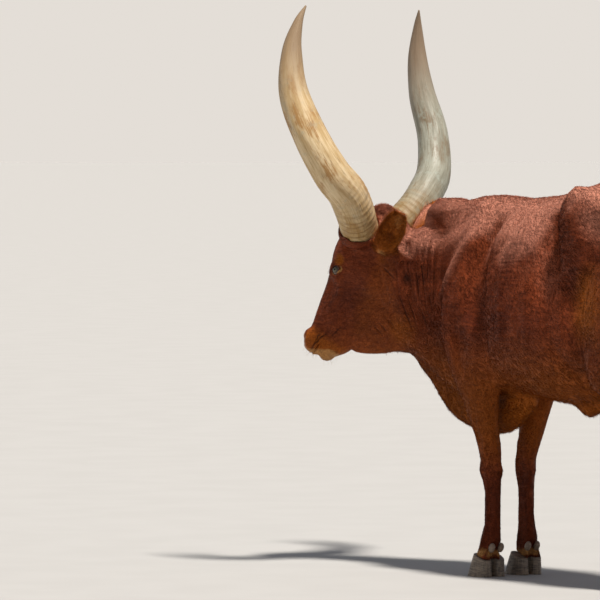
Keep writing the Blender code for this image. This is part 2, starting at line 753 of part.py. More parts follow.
def leg_places(s):
    """The grooves that part bone, tendon and muscle on the legs."""
    straight = Matrix.Identity(3)
    side = "left" if s > 0 else "right"
    hock_y = HOCK_Y[side]
    cannon_y = HIND_Y[side] + 0.04
    return [
        (Vector((0.110 * s, FORE_Y + 0.022, 0.27)), (0.05, 0.014, 0.10), -0.004, straight),
        (Vector((0.130 * s, FORE_Y - 0.010, 0.54)), (0.05, 0.018, 0.10), -0.005, tilt(6, "X")),
        (Vector((0.220 * s, 0.105, 0.86)), (0.06, 0.035, 0.14), -0.010, tilt(12, "X")),
        (Vector((0.165 * s, cannon_y, 0.29)), (0.05, 0.015, 0.12), -0.004, straight),
        (Vector((0.185 * s, hock_y - 0.042, 0.655)), (0.05, 0.018, 0.075), -0.010, tilt(14, "X")),
        (Vector((0.220 * s, 1.14, 0.92)), (0.06, 0.045, 0.17), -0.010, tilt(-16, "X")),
    ]


def flesh():
    """The trunk is fused coarsely and softened first, then the limbs, head and dewlap join it."""
    trunk = torso_forms() + neck_forms()
    limbs = head_forms() + dewlap_forms()
    for side in SIDE_SIGN:
        shoulder, leg = foreleg_forms(side)
        quarter, hind = hindleg_forms(side)
        trunk += shoulder + quarter
        limbs += face_forms(side) + leg + hind
    for _, fetlock, claws in foot_places():
        limbs += digit_forms(fetlock, claws)
    trunk = soften(fuse("trunk", trunk, TRUNK_VOXEL), TRUNK_SOFTENING)
    press(trunk, trunk_places("left") + trunk_places("right"))
    body = fuse("flesh", [trunk] + limbs, VOXEL)
    soft = body.vertex_groups.new(name="soft")
    plain = body.vertex_groups.new(name="plain")
    for vert in body.data.vertices:
        height = min(1, max(0, (vert.co.z - 0.55) / 0.3))
        behind_head = min(1, max(0, ((POLL - vert.co).dot(FORWARD) + 0.02) / 0.12))
        soft.add([vert.index], 0.14 + 0.86 * height * behind_head, "REPLACE")
        plain.add([vert.index], 0.25 + 0.75 * behind_head if height > 0.5 else 0.7, "REPLACE")
    soften(body, LIMB_SOFTENING, "soft")
    press(body, face_places(1) + face_places(-1) + leg_places(1) + leg_places(-1))
    decimate = body.modifiers.new("Decimate", "DECIMATE")
    decimate.ratio = FLESH_RATIO
    decimate.vertex_group = "plain"
    decimate.vertex_group_factor = FACE_FINENESS
    return keep_largest(baked(body))


def cut_coronets(body):
    """Ends the flesh of each foot on the sloping face where its claws start."""
    for _, _, claws in foot_places():
        below = Vector((0, math.sin(CORONET_SLOPE), math.cos(CORONET_SLOPE)))
        planes = [
            (claws, tuple(below)),
            (claws + Vector((0, 0.20, 0)), (0, 1, 0)),
            (claws - Vector((0, 0.20, 0)), (0, -1, 0)),
            (claws + Vector((0.09, 0, 0)), (1, 0, 0)),
            (claws - Vector((0.09, 0, 0)), (-1, 0, 0)),
        ]
        cut_with(body, convex_block("coronet", planes, 0))
    return keep_largest(body)


def make_claws():
    """Two claws to a foot: each runs from the sloping coronet down to a flat sole."""
    made = []
    slope = math.tan(CORONET_SLOPE)
    for name, _, claws in foot_places():
        for label, s in (("a", 1), ("b", -1)):
            turn = Matrix.Rotation(CLAW_SPLAY * s, 3, "Z")
            across = turn @ Vector((1, 0, 0))
            length = turn @ Vector((0, -1, 0))
            rings = []
            layers = 5
            for i in range(layers):
                t = i / (layers - 1)
                half_width = CORONET_HALF_WIDTH + 0.004 * t
                half_length = CORONET_HALF_LENGTH + (CLAW_LENGTH / 2 - CORONET_HALF_LENGTH) * t
                middle = Vector((claws.x + (CLAW_SPREAD + 0.001 * t) * s, claws.y + 0.004 - 0.016 * t, 0))
                ring = []
                for point in oval(middle, across, length, half_width, half_length, 2.3, 14):
                    coronet = claws.z - slope * (point.y - claws.y) - GAP / math.cos(CORONET_SLOPE)
                    ring.append(Vector((point.x, point.y, coronet * (1 - t))))
                rings.append(ring)
            made.append(loft(f"hoof_{name}_{label}", rings))
    return made


def make_dewclaws(legs):
    """Two small claws behind each fetlock, each seated in the leg."""
    made = []
    for name, fetlock, _ in foot_places():
        front, side = name.split("_")
        leg = legs[{"front": "foreleg", "hind": "hindleg"}[front] + "_lower_" + side]
        for label, s in (("c", 1), ("d", -1)):
            centre = fetlock + Vector((0.021 * s, 0.040, -0.004))
            claw = ball(f"hoof_{name}_{label}", centre, (0.012, 0.015, 0.021), tilt(-30, "X"), 2)
            socket_for(leg, claw, GAP * 1.5)
            made.append(claw)
    return made


def parts_of(body):
    """Parts the flesh into head, neck, legs and torso by thin straight cuts."""
    pieces = {}
    behind_jaw = by_head(-0.112, 0, 0)
    pieces["head"] = part_off(body, "head", [(behind_jaw, -FORWARD)])
    base = Vector((0, 0.02, WITHERS))
    back_of_neck = Vector((0, 0.93, -0.26))
    pieces["neck"] = part_off(body, "neck", [(base, back_of_neck)])
    for side, s in SIDE_SIGN.items():
        fore = [
            (Vector((0.062 * s, 0, 0)), (-s, 0, 0)),
            (Vector((0.10 * s, 0, 0.70)), (-0.80 * s, 0, 0.60)),
            (Vector((0, 0.36, 0.80)), (0, 0.95, 0.30)),
            (Vector((0, -0.14, 0.70)), (0, -1, 0)),
            (Vector((0, 0, 0.98)), (0, 0, 1)),
        ]
        leg = part_off(body, f"foreleg_{side}", fore)
        below_knee = [(Vector((0, 0, KNEE_Z + 0.075)), (0, 0, 1))]
        pieces[f"forelimb_lower_{side}"] = part_off(leg, f"foreleg_lower_{side}", below_knee)
        pieces[f"forelimb_upper_{side}"] = leg
        leg.name = f"foreleg_upper_{side}"
        hind = [
            (Vector((0.03 * s, 0, 0)), (-s, 0, 0)),
            (Vector((0.07 * s, 0, 0.80)), (-0.80 * s, 0, 0.60)),
            (Vector((0, {"left": 0.80, "right": 0.84}[side], 0.80)), (0, -0.92, 0.38)),
            (Vector((0, 0, 1.16)), (0, -0.2, 1)),
        ]
        leg = part_off(body, f"hindleg_{side}", hind)
        lean = {"left": -0.15, "right": -0.45}[side]
        above_hock = [(Vector((0, HOCK_Y[side] - 0.08, 0.68)), (0, lean, 0.89))]
        pieces[f"hindlimb_lower_{side}"] = part_off(leg, f"hindleg_lower_{side}", above_hock)
        pieces[f"hindlimb_upper_{side}"] = leg
        leg.name = f"hindleg_upper_{side}"
    body.name = "torso"
    pieces["torso"] = body
    return pieces


def eye_centre(sign):
    return on_head(0.0935 * sign, 0.280, 0.014)


def eye_axes(sign):
    """Along the lids from the front corner, up across the lids, and out of the eye."""
    out = (LEFT * sign + OUT_OF_FACE * 0.22 - DOWN_FACE * 0.05).normalized()
    along = (DOWN_FACE - OUT_OF_FACE * 0.12)
    along = (along - out * along.dot(out)).normalized()
    return along, out.cross(along) * -sign, out


def lid_forms(sign):
    """The rims of the upper and lower lid, meeting at the corners of the eye."""
    along, above, out = eye_axes(sign)
    centre = eye_centre(sign)
    rims = []
    for up, rim in ((1, LID_RIM), (-1, LID_RIM * 0.8)):
        stations = []
        for i in range(7):
            angle = math.pi * i / 6
            reach = Vector((math.cos(angle) * EYE_OPENING[0], math.sin(angle) * EYE_OPENING[1] * up))
            flat = reach.length / EYE_RADIUS
            depth = EYE_RADIUS * math.sqrt(max(0.1, 1.02 - flat * flat))
            point = centre + along * reach.x + above * reach.y + out * (depth + 0.001)
            thin = 0.55 + 0.45 * math.sin(angle)
            stations.append((*point, rim * thin, rim * thin))
        rims.append(tube("lid", stations, across=out, steps=1, sides=6))
    return rims


def open_face(head):
    """Gives the head its lids, and opens the nostrils, the line of the mouth and the eyes."""
    rims = lid_forms(1) + lid_forms(-1)
    head = unite("head", [head] + rims, "EXACT")
    for sign in SIDE_SIGN.values():
        along, above, out = eye_axes(sign)
        lie = Matrix((along, above, out)).transposed()
        opening = (EYE_OPENING[0] * 0.94, EYE_OPENING[1] * 0.90, 0.022)
        cut_with(head, ball("slit", eye_centre(sign) + out * 0.026, opening, lie, 2), "MANIFOLD")
        cut_with(head, ball("socket", eye_centre(sign), [EYE_RADIUS + GAP] * 3, None, 3), "MANIFOLD")
        nostril = tube("nostril", [
            (*on_head(0.038 * sign, 0.634, 0.042), 0.004, 0.006),
            (*on_head(0.054 * sign, 0.620, 0.039), 0.009, 0.011),
            (*on_head(0.067 * sign, 0.604, 0.036), 0.010, 0.012),
            (*on_head(0.077 * sign, 0.586, 0.033), 0.005, 0.006),
        ], across=OUT_OF_FACE, steps=2, sides=8)
        cut_with(head, nostril, "MANIFOLD")
        line = [
            (*on_head(0.0 * sign, 0.662, -0.030), 0.022, 0.0016),
            (*on_head(0.034 * sign, 0.650, -0.032), 0.022, 0.0016),
            (*on_head(0.062 * sign, 0.606, -0.046), 0.016, 0.0016),
            (*on_head(0.066 * sign, 0.562, -0.058), 0.008, 0.0012),
        ]
        mouth_across = (LEFT * sign + DOWN_FACE).normalized()
        cut_with(head, tube("mouth", line, across=mouth_across, steps=3, sides=8), "MANIFOLD")
    return keep_largest(head)


def socket_for(head, piece, grow):
    """Cuts the seat of a piece into the head, wider than the piece by the gap."""
    seat = copy_of(piece, "seat")
    bm = bmesh.new()
    bm.from_mesh(seat.data)
    for vert in bm.verts:
        vert.co += vert.normal * grow
    bm.to_mesh(seat.data)
    bm.free()
    return keep_largest(cut_with(head, seat))


def make_tail():
    stations = [
        (0, TAIL_HEAD.y - 0.02, TAIL_HEAD.z - 0.050, 0.034, 0.028),
        (0, TAIL_HEAD.y + 0.050, TAIL_HEAD.z - 0.068, 0.032, 0.027),
        (0, TAIL_HEAD.y + 0.080, TAIL_HEAD.z - 0.14, 0.028, 0.024),
        (0, TAIL_HEAD.y + 0.085, 1.12, 0.023, 0.020),
        (0.004, TAIL_HEAD.y + 0.082, 0.88, 0.018, 0.017),
        (0.008, TAIL_HEAD.y + 0.080, 0.70, 0.015, 0.014),
        (0.008, TAIL_HEAD.y + 0.080, TAIL_END_Z, 0.014, 0.013),
    ]
    return tube("tail", stations, steps=3, sides=10)


def make_switch():
    """The tuft of long hair at the end of the tail: tapered locks round a short core."""
    top = Vector((0.008, TAIL_HEAD.y + 0.080, TAIL_END_Z - GAP * 1.5))
    pieces = [tube("core", [
        (*top, 0.014, 0.013),
        (*(top - UP * 0.06), 0.022, 0.020),
        (*(top - UP * 0.15), 0.016, 0.015),
        (*(top - UP * 0.20), 0.003, 0.003),
    ], steps=2, sides=10)]
    golden = math.pi * (3 - math.sqrt(5))
    drop = top.z - SWITCH_END_Z
    # Share of the length, distance out, half width
    shape = ((0, 0.004, 0.008), (0.3, 0.024, 0.013), (0.65, 0.030, 0.011), (1, 0.016, 0.0015))
    for i in range(LOCK_COUNT):
        angle = golden * i
        out = Vector((math.cos(angle), math.sin(angle), 0))
        side = UP.cross(out)
        start = 0.02 + 0.13 * i / LOCK_COUNT
        length = drop * (0.62 + 0.30 * ((i * 7) % LOCK_COUNT) / LOCK_COUNT) - start * 0.4
        rows = []
        for t, spread, half in shape:
            point = top - UP * (start + length * t) + out * spread
            rows.append((*point, half, half * 0.45))
        pieces.append(tube("lock", rows, across=side, steps=1, sides=6))
    return unite("tail_switch", pieces)


def centre_on_origin(objects):
    """Moves the animal so that its overall box stands centred on the origin."""
    corners = [obj.matrix_world @ vert.co for obj in objects for vert in obj.data.vertices]
    low = Vector(min(corner[i] for corner in corners) for i in range(3))
    high = Vector(max(corner[i] for corner in corners) for i in range(3))
    shift = Vector((-(low.x + high.x) / 2, -(low.y + high.y) / 2, 0))
    for obj in objects:
        obj.data.transform(Matrix.Translation(shift))
    print("moved by", [round(value, 4) for value in shift])
    return shift


def finish(obj, material):
    obj.data.materials.clear()
    obj.data.materials.append(material)
    obj.data.shade_smooth()
    obj.data.set_sharp_from_angle(angle=math.radians(50))


def main():
    clear_scene()
    coat = make_material("coat", COAT, 0.62)
    switch_hair = make_material("switch_hair", COAT_DARK, 0.7)
    horn = make_material("horn", HORN_IVORY, 0.5)
    hoof = make_material("hoof", HOOF_GREY, 0.5)
    eye = make_material("eye", EYE_BROWN, 0.08)

    body = cut_coronets(flesh())
    pieces = parts_of(body)
    pieces["head"] = open_face(pieces["head"])
    nodes = [(piece, coat) for piece in pieces.values()]
    nodes += [(claw, hoof) for claw in make_dewclaws({piece.name: piece for piece in pieces.values()})]
    for side, sign in SIDE_SIGN.items():
        horn_piece = make_horn(side)
        ear = make_ear(side)
        socket_for(pieces["head"], horn_piece, GAP * 1.5)
        seat_ear(pieces["head"], side)
        eyeball = ball("eye_" + side, eye_centre(sign), [EYE_RADIUS] * 3, None, 2)
        nodes += [(horn_piece, horn), (ear, coat), (eyeball, eye)]
    tail = make_tail()
    socket_for(pieces["torso"], tail, GAP * 1.5)
    nodes += [(tail, coat), (make_switch(), switch_hair)]
    nodes += [(claw, hoof) for claw in make_claws()]
    shift = centre_on_origin([obj for obj, _ in nodes])
    for obj, material in nodes:
        finish(obj, material)
        print(obj.name, sum(len(face.vertices) - 2 for face in obj.data.polygons))
    return shift


ORIGIN_SHIFT = main()
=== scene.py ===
import math

import bmesh
import bpy
import numpy as np
from mathutils import Matrix, Vector, noise
from mathutils.bvhtree import BVHTree
from mathutils.kdtree import KDTree


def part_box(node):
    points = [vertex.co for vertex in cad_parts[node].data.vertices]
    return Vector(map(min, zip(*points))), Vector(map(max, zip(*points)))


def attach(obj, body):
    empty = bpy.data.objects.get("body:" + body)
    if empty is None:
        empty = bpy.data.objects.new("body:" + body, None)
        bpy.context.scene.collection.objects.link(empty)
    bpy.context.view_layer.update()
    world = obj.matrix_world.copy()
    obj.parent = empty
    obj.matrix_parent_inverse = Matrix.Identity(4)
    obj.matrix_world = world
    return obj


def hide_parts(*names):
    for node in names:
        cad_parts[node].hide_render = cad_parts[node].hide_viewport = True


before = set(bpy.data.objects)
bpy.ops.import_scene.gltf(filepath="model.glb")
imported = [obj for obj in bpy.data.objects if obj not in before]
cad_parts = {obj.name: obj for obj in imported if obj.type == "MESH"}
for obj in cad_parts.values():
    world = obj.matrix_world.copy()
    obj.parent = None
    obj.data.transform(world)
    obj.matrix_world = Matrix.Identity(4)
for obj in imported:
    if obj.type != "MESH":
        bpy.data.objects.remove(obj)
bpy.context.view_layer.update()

random = np.random.default_rng(7)

# Places are given as on the animal itself: x to its left, y to its tail, z up
shift = np.array((-0.1642, -0.344, 0.0))
poll = np.array((0.129, -0.481, 1.385)) + shift
ahead = np.array((0.3420, -0.9397, 0.0))
leftward = np.array((0.9397, 0.3420, 0.0))
upward = np.array((0.0, 0.0, 1.0))
downFace = ahead * 0.5 - upward * 0.8660
outOfFace = ahead * 0.8660 + upward * 0.5


def at(x, y, z):
    return np.array((x, y, z)) + shift


def byHead(forward, left, up):
    return poll + ahead * forward + leftward * left + upward * up


def onHead(left, down, out):
    return poll + leftward * left + downFace * down + outOfFace * out


# camera, floor and light
view = {
    "target": (0.4142, -0.7490, 1.043),
    "towards": (0.5734, 0.8188, 0.0279),
    "distance": 20.0,
    "width": 2.290,      # what the picture spans at the target, m
    "sensor": 36.0,
}
light = {
    "keyPower": 5.4, "keyFrom": (0.45, 3.1, 6.3), "keyColour": (1.0, 0.95, 0.88), "keyAngle": 7.0,
    "horizon": (0.775, 0.730, 0.679), "zenith": (0.20, 0.215, 0.25), "worldPower": 1.0,
    "skyStops": (0.06, 0.35), "floorSize": 1600.0,
}


def clearSelection():
    if bpy.context.object and bpy.context.object.mode != "OBJECT":
        bpy.ops.object.mode_set(mode="OBJECT")
    bpy.ops.object.select_all(action="DESELECT")


def makeActive(piece):
    clearSelection()
    piece.select_set(True)
    bpy.context.view_layer.objects.active = piece


def aimed(piece, target):
    away = Vector(piece.location) - Vector(target)
    piece.rotation_euler = away.to_track_quat("Z", "Y").to_euler()


def makeStudio():
    towards = Vector(view["towards"]).normalized()
    camera = bpy.data.cameras.new("camera")
    camera.sensor_width = view["sensor"]
    camera.lens = view["sensor"] * view["distance"] / view["width"]
    camera.clip_end = 2000.0
    holder = bpy.data.objects.new("camera", camera)
    bpy.context.collection.objects.link(holder)
    holder.location = Vector(view["target"]) + towards * view["distance"]
    aimed(holder, view["target"])
    bpy.context.scene.camera = holder
    lamp = bpy.data.lights.new("key", "SUN")
    lamp.energy = light["keyPower"]
    lamp.color = light["keyColour"]
    lamp.angle = math.radians(light["keyAngle"])
    stand = bpy.data.objects.new("key", lamp)
    bpy.context.collection.objects.link(stand)
    stand.location = light["keyFrom"]
    aimed(stand, (0.0, 0.0, 0.0))
    world = bpy.data.worlds.new("studio")
    bpy.context.scene.world = world
    world.use_nodes = True
    nodes, links = world.node_tree.nodes, world.node_tree.links
    sky = nodes["Background"]
    sky.inputs["Strength"].default_value = light["worldPower"]
    # pale at the horizon, dimmer overhead
    kinds = ("TexCoord", "SeparateXYZ", "ValToRGB")
    where, split, ramp = (nodes.new("ShaderNode" + kind) for kind in kinds)
    links.new(where.outputs["Generated"], split.inputs[0])
    links.new(split.outputs["Z"], ramp.inputs[0])
    links.new(ramp.outputs[0], sky.inputs["Color"])
    shades = (light["horizon"], light["zenith"])
    for stop, spot, shade in zip(ramp.color_ramp.elements, light["skyStops"], shades):
        stop.position = spot
        stop.color = (*shade, 1.0)
    bpy.context.scene.view_settings.view_transform = "Standard"
    clearSelection()
    bpy.ops.mesh.primitive_plane_add(size=light["floorSize"], location=(0, 0, 0))
    floor = bpy.context.object
    floor.name = "floor"
    return floor


# shader maths
class Wire:
    # a socket that can be reckoned with
    def __init__(self, look, socket):
        self.look = look
        self.socket = socket

    def sum(self, operation, *values):
        return self.look.make("ShaderNodeMath", {"operation": operation}, values)[0]


def reckoned(operation, swapped):
    def reckon(self, other):
        return self.sum(operation, *((other, self) if swapped else (self, other)))
    return reckon


for word, operation in (("add", "ADD"), ("sub", "SUBTRACT"), ("mul", "MULTIPLY"), ("truediv", "DIVIDE"),
                        ("pow", "POWER")):
    setattr(Wire, "__" + word + "__", reckoned(operation, False))
    setattr(Wire, "__r" + word + "__", reckoned(operation, True))


class Look:
    # one material while it is being wired up
    def __init__(self, name):
        self.material = bpy.data.materials.new(name)
        self.material.use_nodes = True
        self.tree = self.material.node_tree
        self.tree.nodes.clear()

    def make(self, kind, settings=None, values=()):
        # any node: its settings first, then its sockets by number or by name
        node = self.tree.nodes.new(kind)
        for key, value in (settings or {}).items():
            setattr(node, key, value)
        given = values.items() if isinstance(values, dict) else enumerate(values)
        for key, value in given:
            if isinstance(value, Wire):
                self.tree.links.new(value.socket, node.inputs[key])
            elif value is not None:
                node.inputs[key].default_value = value
        return [Wire(self, out) for out in node.outputs]

    def coordinates(self):
        return self.make("ShaderNodeTexCoord")[3]

    def stretched(self, where, turn=(0, 0, 0), scale=(1, 1, 1)):
        return self.make("ShaderNodeMapping", None, {"Vector": where, "Rotation": turn, "Scale": scale})[0]

    def grain(self, where, scale, detail=2.0, rough=0.5):
        return self.make("ShaderNodeTexNoise", None,
                         {"Vector": where, "Scale": scale, "Detail": detail, "Roughness": rough})[0]

    def between(self, value, low, high, first=0.0, last=1.0):
        return self.make("ShaderNodeMapRange", {"interpolation_type": "SMOOTHSTEP"},
                         (value, low, high, first, last))[0]

    def mixed(self, share, first, second):
        return self.make("ShaderNodeMix", {"data_type": "RGBA"}, {0: share, 6: first, 7: second})[2]

    def attribute(self, name):
        return self.make("ShaderNodeAttribute", {"attribute_name": name})

    def parts(self, colour):
        return self.make("ShaderNodeSeparateColor", None, (colour,))

    def bump(self, height, distance, strength=1.0, below=None):
        values = {"Height": height, "Distance": distance, "Strength": strength}
        if below is not None:
            values["Normal"] = below
        return self.make("ShaderNodeBump", None, values)[0]

    def finish(self, values):
        shader = self.make("ShaderNodeBsdfPrincipled", None, values)[0]
        self.make("ShaderNodeOutputMaterial", None, {"Surface": shader})
        return self.material


def colour(red, green, blue):
    return (red, green, blue, 1.0)


def unit(values, least=1e-9):
    length = np.linalg.norm(values, axis=-1, keepdims=True)
    return values / np.maximum(length, least)


# eyes
eyePlan = {"radius": 0.0193, "cornea": 0.0125, "bulge": 0.0014}
lidPlan = {"opening": (0.0172, 0.0104), "thickness": 0.0021, "tuck": 0.0035}


def eyeCentre(s):
    return onHead(0.0935 * s, 0.280, 0.014)


def eyeAxes(s):
    # out of the socket, along the opening to its rear corner, and across the opening
    out = unit(leftward * s + outOfFace * 0.22 - downFace * 0.05)
    rear = -0.68 * outOfFace - 0.73 * downFace
    rear = unit(rear - out * (rear @ out))
    rise = np.cross(out, rear)
    return out, rear, rise * np.sign(rise @ upward)


def lidFrame(points, s):
    out, rear, rise = eyeAxes(s)
    away = points - eyeCentre(s)
    return away @ rear, away @ rise, away @ out


def roundLid(u, v):
    # 1 on the edge of the almond opening
    half, height = lidPlan["opening"]
    return np.sqrt((u / half) ** 2 + (v / height) ** 2)


def lidPlace(s, u, v):
    out, rear, rise = eyeAxes(s)
    return eyeCentre(s) + rear * u + rise * v + out * 0.018


# the skin
skinPlan = {
    "coarse": 0.0125,      # mesh that carries the big smooth forms, m
    "voxel": 0.0045,       # mesh of the remeshed flesh, m
    "coatDepth": 0.0022,   # how far the skin lies under the outline
    "swelling": 0.0005,    # closes the gaps between the frame's solids
    "bigRounds": 30,
    "relaxRounds": 34,
    "seamRounds": 90,      # more smoothing along the edges of the shoulder
    "triangles": 190000,
}
fleshNodes = ["head", "neck", "torso", "tail", "ear_left", "ear_right"]
for side in ("left", "right"):
    for limb in ("foreleg", "hindleg"):
        fleshNodes += [limb + "_upper_" + side, limb + "_lower_" + side]


def linked(mesh, name):
    piece = bpy.data.objects.new(name, mesh)
    bpy.context.collection.objects.link(piece)
    return piece


def withModifier(piece, kind, settings):
    makeActive(piece)
    step = piece.modifiers.new(kind, kind)
    for key, value in settings.items():
        setattr(step, key, value)
    bpy.ops.object.modifier_apply(modifier=step.name)


def pointsOf(mesh):
    flat = np.empty(len(mesh.vertices) * 3)
    mesh.vertices.foreach_get("co", flat)
    return flat.reshape(-1, 3)


def normalsOf(mesh):
    flat = np.empty(len(mesh.vertices) * 3, dtype=np.float32)
    mesh.vertex_normals.foreach_get("vector", flat)
    return flat.reshape(-1, 3).astype(float)


def edgesOf(mesh):
    flat = np.empty(len(mesh.edges) * 2, dtype=np.int32)
    mesh.edges.foreach_get("vertices", flat)
    return flat.reshape(-1, 2)


def putPoints(mesh, points):
    mesh.vertices.foreach_set("co", points.ravel())
    mesh.update()


def putVectors(mesh, name, values):
    layer = mesh.attributes.new(name, "FLOAT_VECTOR", "POINT")
    layer.data.foreach_set("vector", values.astype(np.float32).ravel())


def putPlaces(mesh, places, faces):
    layer = mesh.uv_layers.new(name="OFBake")
    layer.data.foreach_set("uv", places.reshape(-1, 2)[faces.ravel()].astype(np.float32).ravel())


def facedOut(piece):
    makeActive(piece)
    bpy.ops.object.mode_set(mode="EDIT")
    bpy.ops.mesh.select_all(action="SELECT")
    bpy.ops.mesh.normals_make_consistent(inside=False)
    bpy.ops.object.mode_set(mode="OBJECT")


def joinedCopy(nodes, name, swelling=0.0):
    work = bmesh.new()
    for node in nodes:
        one = bmesh.new()
        one.from_mesh(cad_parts[node].data)
        bmesh.ops.remove_doubles(one, verts=one.verts, dist=0.00002)
        one.normal_update()
        for point in one.verts:
            point.co += point.normal * swelling
        part = bpy.data.meshes.new("part")
        one.to_mesh(part)
        one.free()
        work.from_mesh(part)
        bpy.data.meshes.remove(part)
    mesh = bpy.data.meshes.new(name)
    work.to_mesh(mesh)
    work.free()
    return linked(mesh, name)


def keepLargest(piece):
    makeActive(piece)
    bpy.ops.object.mode_set(mode="EDIT")
    bpy.ops.mesh.select_all(action="SELECT")
    bpy.ops.mesh.separate(type="LOOSE")
    bpy.ops.object.mode_set(mode="OBJECT")
    pieces = sorted(bpy.context.selected_objects, key=lambda p: -len(p.data.vertices))
    name = piece.name
    for scrap in pieces[1:]:
        bpy.data.objects.remove(scrap)
    pieces[0].name = name
    return pieces[0]


def averaged(values, edges, count):
    total = np.empty_like(values)
    for axis in range(values.shape[1]):
        total[:, axis] = (np.bincount(edges[:, 0], values[edges[:, 1], axis], len(values))
                          + np.bincount(edges[:, 1], values[edges[:, 0], axis], len(values)))
    return total / count[:, None]


def relaxed(points, edges, weight, rounds):
    # smooths without shrinking: a step in, then a step out
    count = np.maximum(np.bincount(edges.ravel(), minlength=len(points)), 1)
    for turn in range(rounds):
        for step in (0.55, -0.56):
            points = points + (averaged(points, edges, count) - points) * (step * weight[:, None])
    return points


def spread(values, edges, rounds):
    count = np.maximum(np.bincount(edges.ravel(), minlength=len(values)), 1)
    for turn in range(rounds):
        values = (values + averaged(values, edges, count)) / 2
    return values


def smoothStep(value, low, high):
    share = np.clip((value - low) / (high - low), 0.0, 1.0)
    return share * share * (3 - 2 * share)


def reach(points, centre, radii, axes=None):
    # 1 at the centre, 0 at the rim of an ellipsoid
    away = points - centre
    if axes is not None:
        away = away @ np.array(axes).T
    distance = np.sqrt((away ** 2 / np.array(radii) ** 2).sum(axis=1))
    return 1 - smoothStep(distance, 0.0, 1.0)


headAxes = (leftward, downFace, outOfFace)


def regionShares(points):
    # which node of the frame each point belongs to
    tree = KDTree(sum(len(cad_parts[node].data.vertices) for node in fleshNodes))
    owners = []
    for number, node in enumerate(fleshNodes):
        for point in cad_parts[node].data.vertices:
            tree.insert(point.co, len(owners))
            owners.append(number)
    tree.balance()
    found = np.array([owners[tree.find(point)[1]] for point in points])
    return np.eye(len(fleshNodes))[found]


def pathPoints(corners, spacing=0.004):
    corners = [np.array(corner, dtype=float) for corner in corners]
    found = []
    for k in range(len(corners) - 1):
        before = corners[max(k - 1, 0)]
        after = corners[min(k + 2, len(corners) - 1)]
        first, last = corners[k], corners[k + 1]
        steps = max(int(np.linalg.norm(last - first) / spacing), 1)
        for step in range(steps):
            t = step / steps
            found.append(0.5 * (2 * first + (last - before) * t
                                + (2 * before - 5 * first + 4 * last - after) * t ** 2
                                + (3 * first - before - 3 * last + after) * t ** 3))
    found.append(corners[-1])
    return np.array(found)


def alongLine(points, surface, corners, width, taper=0.25):
    # points near a line laid on the skin: their number, distance, and the fade towards its ends
    line = pathPoints(corners)
    line = np.array([surface.find_nearest(Vector(p))[0] for p in line])
    low, high = line.min(axis=0) - width * 3, line.max(axis=0) + width * 3
    near = np.nonzero(((points > low) & (points < high)).all(axis=1))[0]
    best = np.full(len(near), 9.0)
    place = np.zeros(len(near))
    for k in range(len(line)):
        distance = np.linalg.norm(points[near] - line[k], axis=1)
        closer = distance < best
        best[closer] = distance[closer]
        place[closer] = k / (len(line) - 1)
    ends = np.minimum(smoothStep(place, -0.001, taper), 1 - smoothStep(place, 1 - taper, 1.001))
    return near, best, ends


def drawn(points, normals, surface, corners, width, height, lips=0.0):
    # a ridge, or a valley where height is below 0, along a line on the skin
    near, best, ends = alongLine(points, surface, corners, width)
    rise = height * np.exp(-(best / width) ** 2)
    rise -= height * lips * np.exp(-((best - 1.9 * width) / (0.8 * width)) ** 2)
    points[near] += normals[near] * (rise * ends)[:, None]


def surfaceOf(points, faces):
    return BVHTree.FromPolygons([tuple(p) for p in points], faces)


def facesOf(mesh):
    return [tuple(face.vertices) for face in mesh.polygons]


def mirrored(table, place, s, flipped=0):
    # one side's lines, from a table for the left: path, width, height
    found = []
    for corners, width, height in table:
        signed = [[value * s if k == flipped else value for k, value in enumerate(corner)]
                  for corner in corners]
        found.append(([place(*corner) for corner in signed], width, height))
    return found


